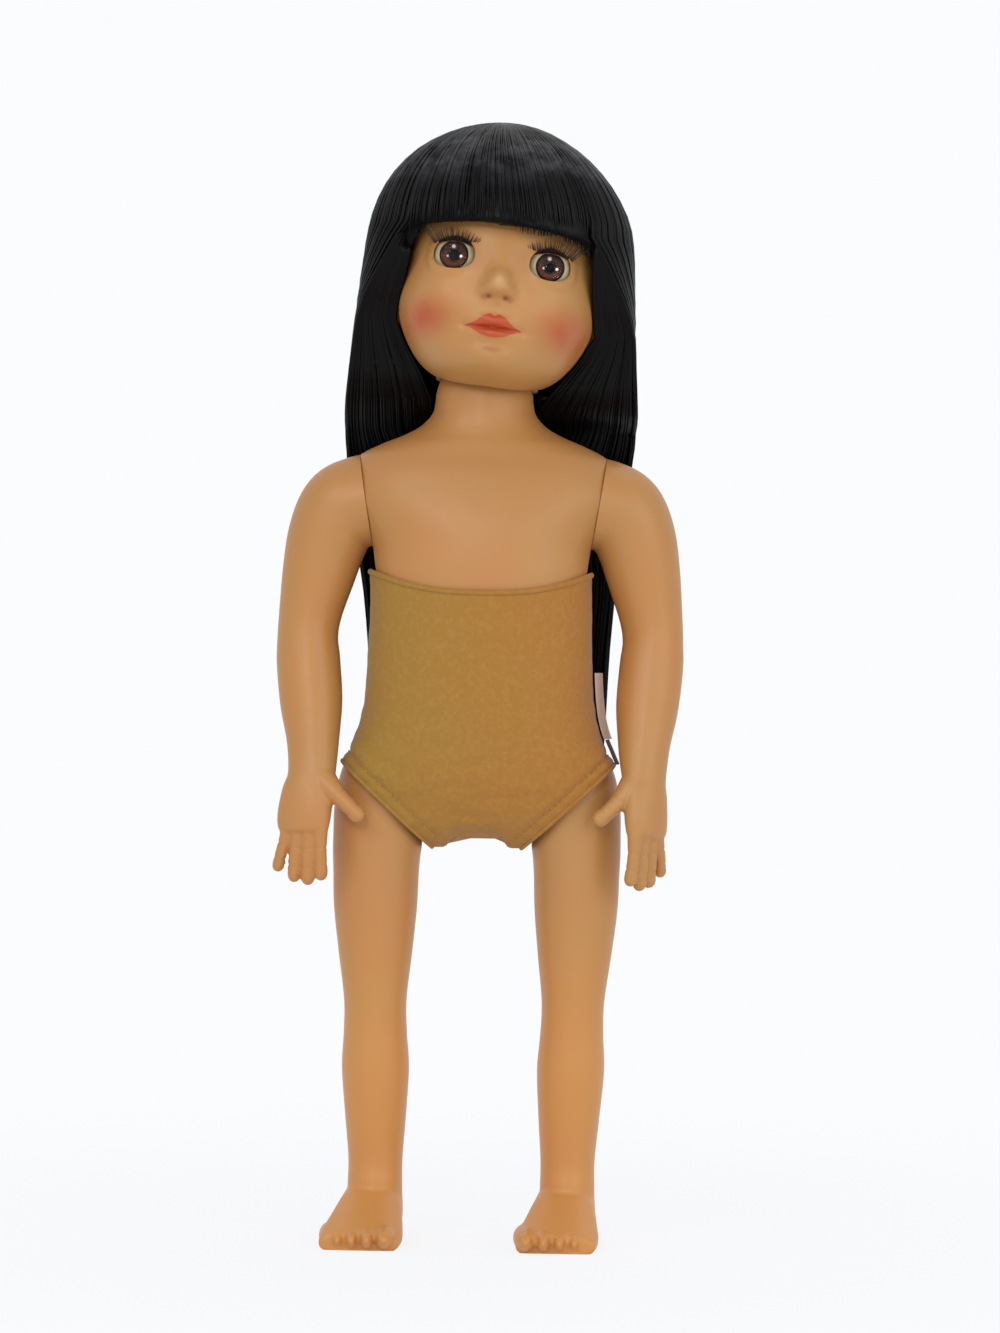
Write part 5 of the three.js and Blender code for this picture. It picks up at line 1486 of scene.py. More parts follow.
def arm_stations(name):
    palm = PALM[name]
    return (
        # middle across, depth, height, half width, half depth, twist
        (41.5, 0, 302.9, 18.7, 18.0, 0),
        (50.5, 0, 301.2, 18.7, 18.0, 0),
        (57.6, 0, 298, 17.7, 17.8, 0),
        (62.8, 0, 287, 16.7, 17, 0),
        (66.7, 0, 271, 14.9, 15.4, 0),
        (69.6, -0.5, 256, 12.9, 13.4, 0),
        (70.5, -1.5, 246, 12.4, 12.8, 0),
        (70, -3, 236, 13, 12.8, 0),
        (68.4, -7, 219, 12.7, 12, 0.1),
        (67.2, -12, 203, 10.6, 10, 0.5),
        (67.3, -16.5, 190, 9.8, 7.8, 0.9),
        ((67.3 + palm) / 2, -19, 182, 10.8, 7, 1),
        (palm - 0.3, -20.6, 173, 11.2, 6.2, 1),
        (palm, PALM_DEPTH, PALM_HEIGHT, 10.2, 5, 1),
    )


def heading_along(stations, along, step):
    """The direction of a middle line at a share of the way along it."""
    ahead = Vector(through(stations, min(1, along + step))[:3])
    behind = Vector(through(stations, max(0, along - step))[:3])
    return (ahead - behind).normalized()


def limb(stations, columns, rows, twist=0.0):
    """A closed limb whose sections stand square to a curved middle line."""
    def place(across, along):
        x, y, z, half, deep, turn = through(stations, along)
        heading = heading_along(stations, along, 0.01)
        side = Vector((0, 1, 0)).cross(heading).normalized()
        side = Matrix.Rotation(math.radians(twist * turn), 3, heading) @ side
        up = heading.cross(side)
        angle = 2 * math.pi * across
        round_end = math.sqrt(max(0.0, 1 - max(0.0, (along - 0.97) / 0.03) ** 2))
        return (Vector((x, y, z)) + side * math.cos(angle) * half * round_end
                + up * math.sin(angle) * deep * round_end)

    return tube(columns, rows, place)


def digit(points, radius, root=1.0):
    """A finger or thumb with a rounded tip and a swelling root, along its middle line."""
    def place(across, along):
        middle = Vector(through(points, along))
        heading = heading_along(points, along, 0.02)
        side = heading.cross(Vector((0.3, 1, 0.2))).normalized()
        up = heading.cross(side)
        tip = math.sqrt(max(0.0, 1 - max(0.0, (along - 0.84) / 0.16) ** 2))
        swell = 1 + 0.05 * math.sin(along * 3 * math.pi)
        narrowing = mix(1.0, 0.86, along) * mix(root, 1, smoothstep(along, 0, 0.62))
        reach = radius * tip * swell * narrowing
        angle = 2 * math.pi * across
        return middle + reach * (side * math.cos(angle) + up * math.sin(angle))

    return tube(20, 36, place)


def finger_line(across, splay, length, palm_end, turn):
    angle = math.radians(turn)
    side = Vector((math.cos(angle), -math.sin(angle), 0))
    curl = Vector((math.sin(angle), math.cos(angle), 0))
    root = palm_end + side * across
    return [tuple(root + side * splay * max(share, 0) + curl * 2.4 * share * share
                  + Vector((0, 0, -length * share))) for share in (-0.35, 0, 0.4, 0.75, 1.04)], curl


def mark_digits(bm, lines):
    """Presses knuckle creases and nails into the skin of the fingers."""
    marks = []
    for points, radius, curl in lines:
        for share, depth in ((0.42, 0.28), (0.68, 0.24)):
            middle = Vector(through(points, share))
            ahead = Vector(through(points, share + 0.05))
            marks.append((middle, (ahead - middle).normalized(), radius, depth, curl))
    nails = []
    for points, radius, curl in lines:
        middle = Vector(through(points, 0.9))
        heading = (Vector(through(points, 0.98)) - middle).normalized()
        nails.append((middle - curl * radius * 0.8, heading, curl, radius))
    for vert in bm.verts:
        if vert.co.z > 192:
            continue
        for middle, heading, radius, depth, curl in marks:
            away = vert.co - middle
            if away.length < radius * 1.6:
                along = away.dot(heading)
                flat = away - heading * along
                if flat.length > 0.2:
                    vert.co -= flat.normalized() * depth * math.exp(-(along / 0.55) ** 2)
        for middle, heading, curl, radius in nails:
            away = vert.co - middle
            if away.length < radius * 1.4 and away.dot(curl) < radius * 0.4:
                along = away.dot(heading) / (radius * 0.95)
                side = away.dot(heading.cross(curl)) / (radius * 0.72)
                reach = math.hypot(along, side)
                vert.co -= curl * 0.16 * smoothstep(reach, 1.0, 0.7)
                vert.co += curl * 0.16 * math.exp(-((reach - 1.12) / 0.16) ** 2)
    return bm


def arm(name, sign):
    turn = HAND_TURN[name]
    stations = arm_stations(name)
    bm = limb(stations, 56, 110, turn)
    palm_end = Vector((PALM[name], PALM_DEPTH, PALM_HEIGHT + 0.5))
    lines = []
    for across, splay, length, radius in FINGERS:
        points, curl = finger_line(across, splay, length, palm_end, turn)
        lines.append((points, radius, curl))
        add_to(bm, digit(points, radius))
    thumb = [(PALM[name] + across, front, PALM_HEIGHT + rise) for across, front, rise in THUMBS[name]]
    add_to(bm, digit(thumb, THUMB_RADIUS, 1.75))
    lines.append((thumb, THUMB_RADIUS, Vector((0.45, 0.85, 0.25)).normalized()))
    bm = even_skin(bm, 0.62, 3)
    mark_digits(bm, lines)
    cut(bm, SHOULDER + SHOULDER_OUT * SHOULDER_GAP, -SHOULDER_OUT)

    def at_joint(vert):
        return abs((vert.co - SHOULDER).dot(SHOULDER_OUT) - SHOULDER_GAP) < 0.02

    sharp = [edge for edge in bm.edges if len(edge.link_faces) == 2 and edge.calc_face_angle() > 0.7
             and all(at_joint(vert) for vert in edge.verts)]
    soften(bm, sharp, 0.4, 2)
    return mirrored(bm, sign)


HIP = Vector((37, 0, 178.5))
HIP_INWARD = Vector((-math.sin(HIP_SLOPE), 0, math.cos(HIP_SLOPE)))
HIP_ALONG = Vector((math.cos(HIP_SLOPE), 0, math.sin(HIP_SLOPE)))
LEG_STATIONS = (
    # height, middle across, depth, half width, half depth
    (12, 39.5, 6, 11.6, 13.5),
    (23, 39.5, 7, 11.2, 13),
    (33, 39.5, 7.5, 11.2, 12.5),
    (51, 39.7, 5.5, 12.6, 14.2),
    (70, 40, 3, 13.8, 15.6),
    (84, 40.2, 1, 13, 14.6),
    (98, 40.4, -1, 12.8, 14),
    (117, 40.7, -1, 15, 15.6),
    (136, 41, -0.5, 17, 17),
    (152, 41, 0, 17.6, 17.8),
)
LEG_TOP = (
    # past the opening's plane, along it, half length, half depth, lean
    (-15.4, -8.9, 18.5, 18, 0.35),
    (-7.9, -2.8, 20.2, 18.3, 0.64),
    (0, 2.2, 21.7, 18.2, 1),
    (3.4, 0.8, 20.5, 17.8, 1),
    (5.7, 0, 18.2, 17.2, 1),
)
FOOT_STATIONS = (
    # depth, half width, top, bottom
    (22, 4.5, 10, 1),
    (19, 9.2, 17, -1),
    (10, 11.6, 25, -2),
    (-3, 13.2, 22, -2),
    (-15, 15.2, 15.8, -2),
    (-25, 16.6, 10.9, -2),
    (-33, 16, 7.4, -2),
)
TOES = (
    # across, tip, radius, height
    (-11.2, 0, 4.6, 4.6),
    (-4.1, 0.6, 3.7, 4.4),
    (2.2, 1.8, 3.5, 4.2),
    (8.0, 3.6, 3.3, 4.0),
    (13.0, 6.4, 3.2, 3.8),
)
TOE_LENGTH = 17
TOE_RISE = 0.2
ANKLE = 39.5


def drift(depth):
    """How far both feet turn towards the doll's right, growing towards the toes."""
    return -6 * min(1, max(0, (10 - depth) / 50))


def leg_form():
    rows = [(x, y, z, 0, half, deep) for z, x, y, half, deep in LEG_STATIONS]
    for past, slide, half, deep, lean in LEG_TOP:
        middle = HIP + HIP_INWARD * past + HIP_ALONG * slide
        rows.append((middle.x, 0, middle.z, HIP_SLOPE * lean, half, deep))

    def place(across, along):
        x, y, z, tilt, half, deep = through(rows, along)
        angle = 2 * math.pi * across
        side = Vector((math.cos(tilt), 0, math.sin(tilt)))
        return Vector((x, y, z)) + side * math.cos(angle) * half + Vector((0, math.sin(angle) * deep, 0))

    return tube(64, 110, place)


def foot_form(sign):
    def place(across, along):
        y, half, top, bottom = through(FOOT_STATIONS, along)
        side, rise = outline(2 * math.pi * across, half, (top - bottom) / 2, (top - bottom) / 2, 2.6)
        return Vector((ANKLE + sign * drift(y) + side, y, (top + bottom) / 2 + rise))

    return tube(44, 40, place)


def leg(sign):
    bm = leg_form()
    add_to(bm, foot_form(sign))
    nails = []
    for across, tip, radius, height in TOES:
        front = -40 + tip
        middle = Vector((ANKLE + across + sign * drift(front), front + TOE_LENGTH, height + TOE_RISE))
        toe = bmesh.new()
        size = Matrix.Diagonal((radius * 1.06, TOE_LENGTH, middle.z + 0.2, 1))
        bmesh.ops.create_uvsphere(
            toe, u_segments=28, v_segments=18, radius=1, matrix=Matrix.Translation(middle) @ size)
        add_to(bm, toe)
        nails.append((Vector((middle.x, front + 3, height * 1.55)), radius * 0.62))
    bm = even_skin(bm, 0.72, 5)
    for vert in bm.verts:
        if vert.co.z < 14 and vert.co.y < -30:
            for middle, radius in nails:
                across = (vert.co.x - middle.x) / radius
                reach = math.hypot(across, (vert.co.y - middle.y) / (radius * 1.15))
                if reach < 1.7 and vert.co.z > 3:
                    groove = 0.2 * math.exp(-((reach - 1.15) / 0.18) ** 2)
                    vert.co.z += 0.16 * smoothstep(reach, 1, 0.75) - groove
    cut(bm, (0, 0, 0), (0, 0, -1))
    return mirrored(bm, sign)


# Cloth body


CLOTH_STATIONS = (
    # height, half width, front, back
    (158, 40, 8, 8),
    (163, 52, 15, 15),
    (171, 57, 21.5, 21.5),
    (180, 58, 27, 27.5),
    (190, 57.5, 32, 32),
    (200, 53.5, 34.5, 34),
    (210, 49.4, 35.6, 33.6),
    (221.7, 47.3, 36, 32.4),
    (240, 46.2, 35.8, 31),
    (255.8, 45.6, 35.2, 30.6),
    (CLOTH_EDGE, 45.6, 34.8, 31.2),
)
CLOTH_COLUMNS = 220
CLOTH_LOW = 158
CROTCH_FROM = 172
SEWN_LINE = 4.4


def cloth_point(across, along):
    """A point of the body's cloth, with its folds and the line sewn above each leg opening."""
    z, half, front, back = through(CLOTH_STATIONS, along)
    angle = 2 * math.pi * across
    raised = smoothstep(z, 240, CLOTH_EDGE)
    side, depth = outline(angle, half, front, back, 2.5)
    point = Vector((side, depth, z + raised * 4.1 * math.cos(2 * angle)))
    out = Vector((side / half, depth / max(front, back), 0))
    out = out.normalized() if out.length > 1e-6 else Vector((0, 0, -1))
    low = smoothstep(point.z, 240, 190)
    soft = 0.55 * noise.noise(point * 0.045) + (0.25 + 0.5 * low) * noise.noise(
        Vector((point.x * 0.07 + 5, point.y * 0.07, point.z * 0.19)))
    soft -= 0.55 * math.exp(-(point.y / 0.9) ** 2) * smoothstep(point.z, 196, 206)
    beside = abs(point.x)
    past = (Vector((beside, 0, point.z)) - HIP).dot(HIP_INWARD)
    slide = (Vector((beside, 0, point.z)) - HIP).dot(HIP_ALONG)
    soft -= 0.75 * math.exp(-((past - SEWN_LINE) / 0.8) ** 2)
    soft += 0.35 * math.exp(-((past - SEWN_LINE - 2.6) / 1.6) ** 2)
    soft += 0.5 * math.exp(-((past - SEWN_LINE + 2.4) / 1.8) ** 2)
    pleat = math.sin(slide * 0.85 + 1.3 * noise.noise(point * 0.1))
    soft += 0.22 * pleat * smoothstep(past, 12, 3)
    point += out * (soft * smoothstep(abs(point.y) + (point.z - CLOTH_LOW), 3, 9) - 0.35)
    crotch = mix(161, 164.8, smoothstep(beside, 14, 9))
    if point.z < CROTCH_FROM:
        above = math.sqrt(max(0.0, point.z - CLOTH_LOW) ** 2 + 0.01)
        point.z = crotch + above * (CROTCH_FROM - crotch) / (CROTCH_FROM - CLOTH_LOW)
    return point


def cloth_skin():
    """The whole outer skin of the body, closed below."""
    bm = merge(sheet(CLOTH_COLUMNS, 150, cloth_point))
    bottom = [edge for edge in open_edges(bm) if edge.verts[0].co.z < 200]
    bmesh.ops.holes_fill(bm, edges=bottom, sides=0)
    return faced_out(bm)


def hip_frame(sign):
    return (Vector((sign * HIP.x, 0, HIP.z)), Vector((sign * HIP_INWARD.x, 0, HIP_INWARD.z)))


def trunk_cloth(skin):
    bm = skin.copy()
    for _, sign in SIDES:
        middle, inward = hip_frame(sign)
        cut(bm, middle + inward * CASING_DEPTH, -inward, fill=False)
    return bm


def casing_cloth(skin, sign):
    bm = skin.copy()
    middle, inward = hip_frame(sign)
    cut(bm, middle + inward * CASING_DEPTH, inward, fill=False)
    cut(bm, middle, -inward, fill=False)
    cut(bm, (0, 0, 0), (-sign, 0, 0), fill=False)
    return bm


def walk(edges):
    """The points of edges in their order along the line that they make."""
    links = {}
    for edge in edges:
        first, second = edge.verts
        links.setdefault(first, []).append(second)
        links.setdefault(second, []).append(first)
    start = next((vert for vert in links if len(links[vert]) == 1), next(iter(links)))
    order, seen = [start], {start}
    while True:
        following = [vert for vert in links[order[-1]] if vert not in seen]
        if not following:
            return [vert.co.copy() for vert in order], len(links[start]) > 1
        order.append(following[0])
        seen.add(following[0])


def crossing(bm, point, normal):
    """Where a plane crosses a skin, as points in order, and whether they close."""
    work = bm.copy()
    line = walk(divide(work, point, normal, clear=False))
    work.free()
    return line


def spaced(points, closed, spacing):
    """The same line with points at an even spacing."""
    if closed:
        points = points + [points[0]]
    lengths = [0.0]
    for a, b in zip(points, points[1:]):
        lengths.append(lengths[-1] + (b - a).length)
    count = max(3, round(lengths[-1] / spacing))
    result, index = [], 0
    for step in range(count if closed else count + 1):
        target = lengths[-1] * step / count
        while index < len(points) - 2 and lengths[index + 1] < target:
            index += 1
        span = lengths[index + 1] - lengths[index]
        share = (target - lengths[index]) / span if span else 0
        result.append(points[index].lerp(points[index + 1], share))
    return result


def outward(points, index, closed, axis):
    """The heading of a line at one of its points, and the direction out of the loop that it makes."""
    count = len(points)
    ahead = points[(index + 1) % count] if closed else points[min(index + 1, count - 1)]
    behind = points[(index - 1) % count] if closed else points[max(index - 1, 0)]
    heading = (ahead - behind).normalized()
    out = heading.cross(axis).normalized()
    middle = sum(points, Vector()) / count
    return heading, out if out.dot(points[index] - middle) > 0 else -out


def roll(points, radius, axis, sides=10, height=1.0):
    """A rolled hem along a closed line. axis is square to the line's plane."""
    count = len(points)

    def place(across, along):
        index = round(along * count) % count
        heading, out = outward(points, index, True, axis)
        angle = 2 * math.pi * across
        up = heading.cross(out)
        return points[index] + radius * (out * math.cos(angle) + up * height * math.sin(angle))

    return faced_out(merge(sheet(sides, count, place)))


def stitches(points, length, axis):
    """A row of thread stitches along a closed line, each half sunk into the cloth."""
    line = spaced(points, True, length * 1.35)
    places = [outward(line, index, True, axis) for index in range(len(line))]
    rings = list(range(7))

    def path(fibre, ring):
        heading, out = places[fibre]
        share = ring / 6
        bow = 0.2 * math.sin(math.pi * share)
        side = heading.cross(out)
        thick = 0.26 * math.sqrt(max(0.0, 1 - (2 * share - 1) ** 4)) if 0 < ring < 6 else 0
        middle = line[fibre] + heading * (share - 0.5) * length + out * (bow - 0.05)
        return middle, out * thick, side * thick

    return strands(len(line), rings, path, 6)


def cloth_side(height):
    """How far the cloth reaches to the side at a height."""
    return at_height(CLOTH_STATIONS, height)[1]


def label(top, length, lift, flare):
    """A blank label sewn into the side seam, whose back edge stands off the cloth."""
    def place(across, along):
        height = top - length * along
        curl = 0.4 * math.sin(math.pi * across) * (0.4 + along)
        x = cloth_side(height) + lift + flare * across + curl
        return Vector((x, mix(-5, 5, across) + 0.5 * along * along, height))

    return sheet(12, 30, place)


# Operators: each makes one group of like pieces


MATERIALS = {}


def colour_materials(colours):
    """Makes every finish once, by the name that the operators know it by."""
    for make_effect in (vinyl_effect, streak_effect, knit_effect, plastic_effect):
        make_effect()
    MATERIALS.update({
        "skin": make_skin(colours),
        "face": make_face_paint(colours),
        "strands": make_hair(colours),
        "wefts": make_hair_base(colours),
        "cloth": make_cloth(colours),
        "hem": make_cloth(colours, "hem_knit", 1.3),
        "thread": make_fibre("sewing_thread", linear(150, 106, 52)),
        "pale_label": make_label("pale_tape", colours.pale_label),
        "dark_label": make_label("dark_tape", colours.dark_label),
        "stuffing": make_plastic(
            "fibre_fill", (238, 234, 224), 220.0, 0.8, 0.001, Specular_IOR_Level=0.2),
        "net": make_net(),
        "iris": make_iris(colours),
        "eye_white": make_eye_white(colours),
        "glass": make_glass(),
        "lid": make_lid(colours),
        "lash": make_fibre("lash_fibre", colours.lash),
        "pupil": make_plastic("pupil_black", (6, 5, 5), 500.0, Specular_IOR_Level=0.05),
        "weight": make_metal("weight_zinc", (150, 148, 142), 0.42),
        "pin": make_metal("pin_steel", (188, 186, 182), 0.24),
        "case": make_plastic("case_plastic", (226, 220, 206), 260.0),
        "neck": make_plastic("neck_plastic", (214, 178, 140), 260.0),
        "tie": make_plastic("tie_nylon", (232, 228, 214), 320.0, Subsurface_Weight=0.1),
        "plug": make_plastic("plug_plastic", (206, 160, 116), 280.0),
    })


CARRIED_OVER = {
    "body_tie": "tie", "neck_swivel": "neck", "neck_saddle": "neck", "head_cup": "neck",
    "head_stem": "neck",
}
PAIRED_OVER = {
    "eye_case": "case", "eye_pin": "pin", "eye_weight": "weight", "arm_plug": "plug", "leg_tie": "tie",
    "hip_disc": "plug",
}
for side_name, _ in SIDES:
    CARRIED_OVER.update({f"{side_name}_{part}": finish_name for part, finish_name in PAIRED_OVER.items()})


class DOLL_OT_finishes(bpy.types.Operator):
    """Makes the materials and dresses the inner parts that keep their frame shape"""
    bl_idname = "doll.finishes"
    bl_label = "Finishes"

    def execute(self, context):
        colour_materials(context.scene.doll_colours)
        for node, finish_name in CARRIED_OVER.items():
            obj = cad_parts[node]
            if not obj.material_slots:
                raise RuntimeError(f"{node} has no material slot")
            for slot in obj.material_slots:
                slot.material = MATERIALS[finish_name]
        return {"FINISHED"}


class DOLL_OT_head(bpy.types.Operator):
    """Builds the moulded head with its face, ears and eye openings"""
    bl_idname = "doll.head"
    bl_label = "Head"

    def execute(self, context):
        shell = walled(head_shell(), HEAD_WALL)
        keep("moulded_head", shell, MATERIALS["face"], "skin_vinyl", "head", ("head_shell",))
        return {"FINISHED"}


class DOLL_OT_eyes(bpy.types.Operator):
    """Builds both eyes: ball, iris, pupil, cornea, lid and lashes"""
    bl_idname = "doll.eyes"
    bl_label = "Eyes"

    def execute(self, context):
        sizes = context.scene.doll_sizes
        for name, sign in SIDES:
            place = HEAD_PLACE @ eye_place(sign)
            body = name + "_eye"
            for piece, shape, finish_name, slot in (
                ("eyeball", eyeball(), "eye_white", "eye_white"),
                ("iris", iris(), "iris", "eye_brown"),
                ("pupil", pupil(), "pupil", "eye_pupil"),
                ("cornea", cornea(), "glass", "eye_glass"),
                ("lid", eyelid(), "lid", "lid_paint"),
                ("lashes", lashes(sign, sizes.lash_length / MM, sizes.lash_count), "lash", "lash_fibre"),
            ):
                node = f"{name}_{piece}"
                keep(node + "_made", turned_into(shape, place), MATERIALS[finish_name], slot, body, (node,))
        return {"FINISHED"}


class DOLL_OT_wig(bpy.types.Operator):
    """Builds the wig: net cap, dense wefts and the strands over them"""
    bl_idname = "doll.wig"
    bl_label = "Wig"

    def execute(self, context):
        sizes = context.scene.doll_sizes
        width = sizes.strand_width / MM
        wig = Wig()
        net = keep("wig_net_cap", copy_of("wig_cap"), MATERIALS["net"], "wig_net", "head", ("wig_cap",))
        finer = net.modifiers.new("Smooth net", "SUBSURF")
        finer.levels = finer.render_levels = 1
        hang("wefts", hair_base(wig), MATERIALS["wefts"], HAIR_SOLIDS)
        for name, sign in SIDES:
            outer = side_strands(wig, sign, sizes.strand_count, width, 3 + sign)
            hang(name + "_locks", outer, MATERIALS["strands"])
            edge = edge_strands(wig, sign, 150, width, 20 + sign)
            hang(name + "_edge_locks", edge, MATERIALS["strands"])
        for name, shape in (("fringe_locks", fringe_strands(wig, 280, width * 0.85, 40)),
                            ("crown_locks", crown_strands(wig, 300, width * 0.9, 50))):
            keep(name, shape, MATERIALS["strands"], "hair_fibre", "head")
        return {"FINISHED"}


class DOLL_OT_plate(bpy.types.Operator):
    """Builds the vinyl shoulder plate with the neck"""
    bl_idname = "doll.plate"
    bl_label = "Shoulder Plate"

    def execute(self, context):
        keep("moulded_plate", shoulder_plate(), MATERIALS["skin"], "skin_vinyl", "torso",
             ("shoulder_plate",))
        return {"FINISHED"}


class DOLL_OT_arms(bpy.types.Operator):
    """Builds both arms with their hands"""
    bl_idname = "doll.arms"
    bl_label = "Arms"

    def execute(self, context):
        for name, sign in SIDES:
            node = name + "_arm"
            keep(node + "_moulded", arm(name, sign), MATERIALS["skin"], "skin_vinyl", node, (node,))
        return {"FINISHED"}


class DOLL_OT_legs(bpy.types.Operator):
    """Builds both legs with their feet"""
    bl_idname = "doll.legs"
    bl_label = "Legs"

    def execute(self, context):
        for name, sign in SIDES:
            node = name + "_leg"
            keep(node + "_moulded", leg(sign), MATERIALS["skin"], "skin_vinyl", node, (node,))
        return {"FINISHED"}


class DOLL_OT_cloth(bpy.types.Operator):
    """Builds the stuffed cloth body with its hems, stitches and filling"""
    bl_idname = "doll.cloth"
    bl_label = "Cloth Body"

    def execute(self, context):
        sizes = context.scene.doll_sizes
        hem = sizes.hem_radius / MM
        skin = cloth_skin()
        trunk = keep("sewn_trunk", walled(trunk_cloth(skin), CLOTH_WALL), MATERIALS["cloth"],
                     "body_cloth", "torso", ("cloth_body",))
        top = [cloth_point(step / CLOTH_COLUMNS, 1) for step in range(CLOTH_COLUMNS)]
        edge = keep("rolled_top_hem", roll(top, hem, Vector((0, 0, 1)), height=1.3), MATERIALS["hem"],
                    "body_cloth", "torso")
        for name, sign in SIDES:
            middle, inward = hip_frame(sign)
            points, _ = crossing(skin, middle, inward)
            sewn, _ = crossing(skin, middle + inward * SEWN_LINE, inward)
            line = spaced(points, True, 0.9)
            casing = walled(casing_cloth(skin, sign), CLOTH_WALL)
            pieces = (
                keep(name + "_sewn_casing", casing, MATERIALS["cloth"], "body_cloth", None,
                     (name + "_leg_casing",)),
                keep(name + "_opening_hem", roll(line, hem, inward), MATERIALS["hem"], "body_cloth"),
                keep(name + "_opening_stitches", stitches(sewn, sizes.stitch_length / MM, inward),
                     MATERIALS["thread"], "body_cloth"),
            )
            for piece in pieces:
                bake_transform(piece)
        skin.free()
        fill = even_skin(copy_of("torso_stuffing"), 3.0, 6)
        for vert in fill.verts:
            vert.co += vert.normal * (0.8 * noise.noise(vert.co * 0.12) - 0.8)
        stuffing = keep("fibre_filling", fill, MATERIALS["stuffing"], "stuffing", "torso",
                        ("torso_stuffing",))
        return {"FINISHED"}


class DOLL_OT_labels(bpy.types.Operator):
    """Builds the two blank labels in the side seam"""
    bl_idname = "doll.labels"
    bl_label = "Labels"

    def execute(self, context):
        for node, finish_name, top, length, lift, flare in (
            ("care_label", "pale_label", 233, 27, 0.3, 3.2),
            ("size_label", "dark_label", 205.7, 10, 0.6, 1.6),
        ):
            shape = walled(faced_out(label(top, length, lift, flare)), 0.35)
            piece = keep("blank_" + node, shape, MATERIALS[finish_name], finish_name, "torso", (node,))
        return {"FINISHED"}


class DOLL_OT_stage(bpy.types.Operator):
    """Adds the floor, the lamps, the world and the camera"""
    bl_idname = "doll.stage"
    bl_label = "Stage"

    def execute(self, context):
        scene = context.scene
        bm = bmesh.new()
        bmesh.ops.create_circle(bm, cap_ends=True, segments=96, radius=30)
        mesh = bpy.data.meshes.new("floor")
        bm.to_mesh(mesh)
        bm.free()
        floor = bpy.data.objects.new("floor", mesh)
        scene.collection.objects.link(floor)
        mesh.materials.append(make_floor())
        for name, place, size, watts in (
            ("key_lamp", (-1.3, -2.0, 1.7), 1.4, 13),
            ("fill_lamp", (1.7, -1.6, 0.9), 1.4, 9),
            ("top_lamp", (0.2, 0.5, 2.3), 1.4, 8),
            ("left_eye_light", (-0.28, -1.95, 0.95), 0.3, 6),
            ("right_eye_light", (0.75, -1.85, 0.75), 0.2, 2),
        ):
            lamp = bpy.data.lights.new(name, "AREA")
            lamp.energy = watts
            lamp.shape = "DISK"
            lamp.size = size
            obj = bpy.data.objects.new(name, lamp)
            obj.location = place
            aim = Vector((0, 0, 0.25)) - Vector(place)
            obj.rotation_euler = aim.to_track_quat("-Z", "Y").to_euler()
            scene.collection.objects.link(obj)
        scene.world = make_world()
        lens = bpy.data.cameras.new("photo_camera")
        lens.lens = 105.65
        lens.sensor_width = 36
        camera = bpy.data.objects.new("photo_camera", lens)
        camera.matrix_world = (
            Matrix.Translation((0.0082, -1.6, 0.245))
            @ Matrix.Rotation(math.radians(90 - 0.36), 4, "X")
            @ Matrix.Rotation(math.radians(1), 4, "Z")
        )
        scene.collection.objects.link(camera)
        scene.camera = camera
        scene.view_settings.view_transform = "Standard"
        return {"FINISHED"}


def background_rays(tree):
    """1 for the rays that see the background: from the camera, in gloss and through glass."""
    rays = tree.add("ShaderNodeLightPath").outputs
    seen = tree.plus(rays["Is Camera Ray"], rays["Is Glossy Ray"])
    return tree.plus(seen, rays["Is Transmission Ray"], clamp=True)


BACKDROP = linear(251, 252, 254)


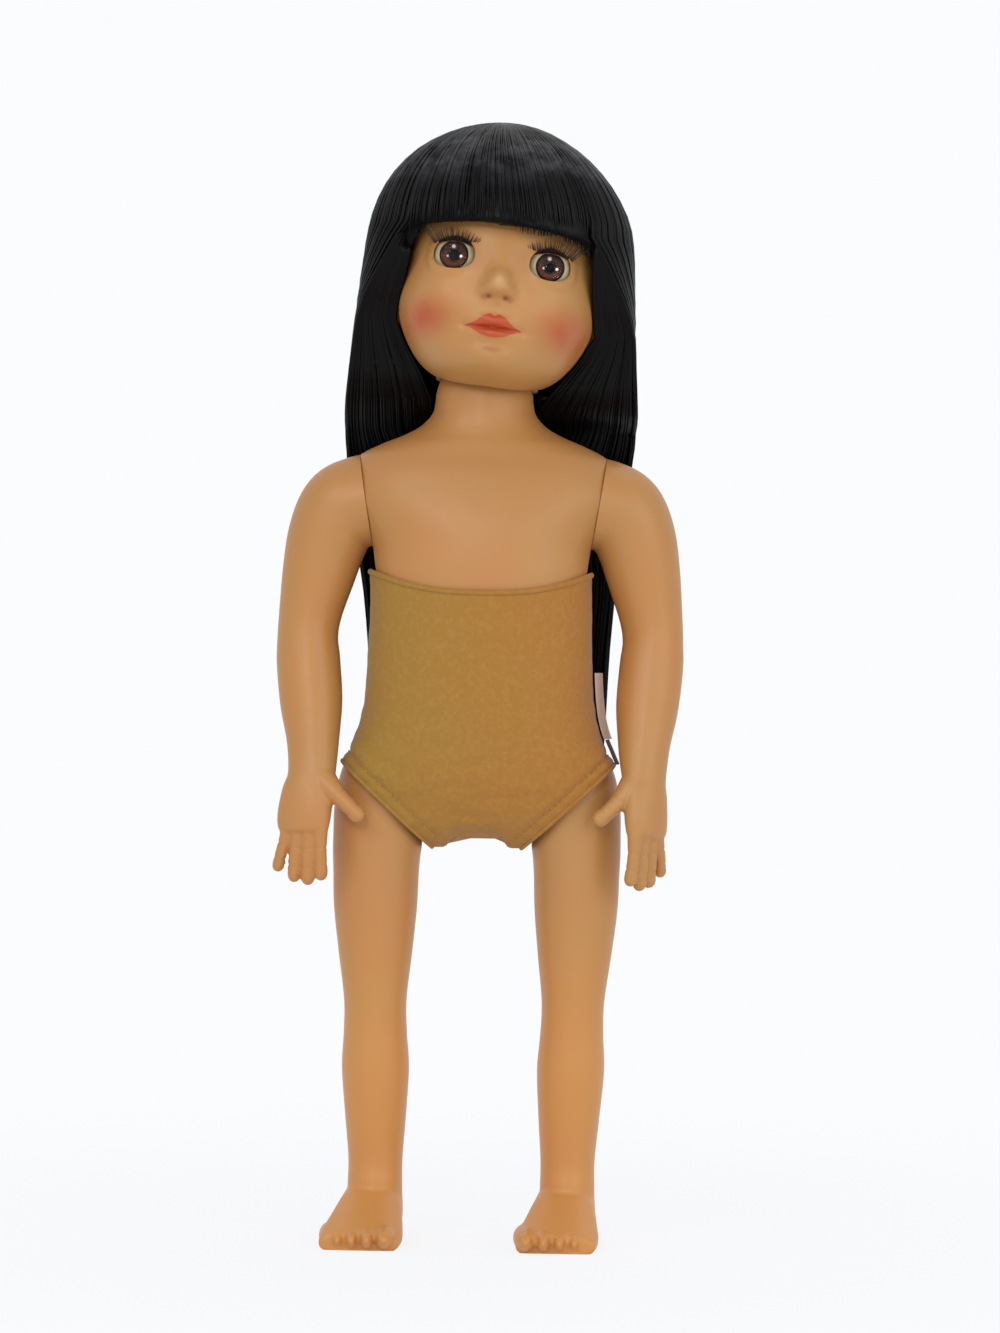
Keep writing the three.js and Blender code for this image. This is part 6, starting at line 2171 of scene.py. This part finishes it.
def make_floor():
    """A white floor that fades into the background away from the doll."""
    material, tree, shader, _ = finish("pale_floor", {
        "Base Color": (0.93, 0.935, 0.945, 1), "Roughness": 0.8, "Specular IOR Level": 0.1})
    parts = tree.apart(tree.object_place())
    far = tree.step(tree.reach(parts[0], parts[1]), 0.12, 0.5)
    share = tree.times(tree.line(far, 0.12, 0.88), background_rays(tree))
    glow = tree.add("ShaderNodeEmission", {"Color": BACKDROP, "Strength": 1.0})
    surface(tree, material, share, shader, glow)
    return material


def make_world():
    """White light all round, with the backdrop's colour where it is seen itself."""
    world = bpy.data.worlds.new("soft_studio")
    world.use_nodes = True
    tree = Tree(world.node_tree)
    ambient = world.node_tree.nodes["Background"]
    ambient.inputs["Color"].default_value = WHITE
    ambient.inputs["Strength"].default_value = 0.5
    seen = tree.add("ShaderNodeBackground", {"Color": BACKDROP, "Strength": 1.0})
    both = tree.add("ShaderNodeMixShader", {
        0: background_rays(tree), 1: ambient.outputs[0], 2: seen.outputs[0]})
    tree.give(world.node_tree.nodes["World Output"].inputs["Surface"], both.outputs[0])
    return world


STEPS = ("finishes", "head", "eyes", "wig", "plate", "arms", "legs", "cloth", "labels", "stage")


class DOLL_PT_panel(bpy.types.Panel):
    """Lists the doll's sizes, its colours and the steps that build it"""
    bl_idname = "DOLL_PT_panel"
    bl_label = "Play Doll"
    bl_space_type = "VIEW_3D"
    bl_region_type = "UI"
    bl_category = "Doll"

    def draw(self, context):
        layout = self.layout
        for settings in (context.scene.doll_sizes, context.scene.doll_colours):
            column = layout.column()
            for name in settings.__annotations__:
                column.prop(settings, name)
        for step in STEPS:
            layout.operator("doll." + step)


CLASSES = (DollSizes, DollColours, DOLL_OT_finishes, DOLL_OT_head, DOLL_OT_eyes, DOLL_OT_wig,
           DOLL_OT_plate, DOLL_OT_arms, DOLL_OT_legs, DOLL_OT_cloth, DOLL_OT_labels, DOLL_OT_stage,
           DOLL_PT_panel)


def register():
    for kind in CLASSES:
        bpy.utils.register_class(kind)
    bpy.types.Scene.doll_sizes = bpy.props.PointerProperty(type=DollSizes)
    bpy.types.Scene.doll_colours = bpy.props.PointerProperty(type=DollColours)


def unregister():
    del bpy.types.Scene.doll_colours
    del bpy.types.Scene.doll_sizes
    for kind in reversed(CLASSES):
        bpy.utils.unregister_class(kind)


def main():
    register()
    for step in STEPS:
        getattr(bpy.ops.doll, step)()


if __name__ == "__main__":
    main()
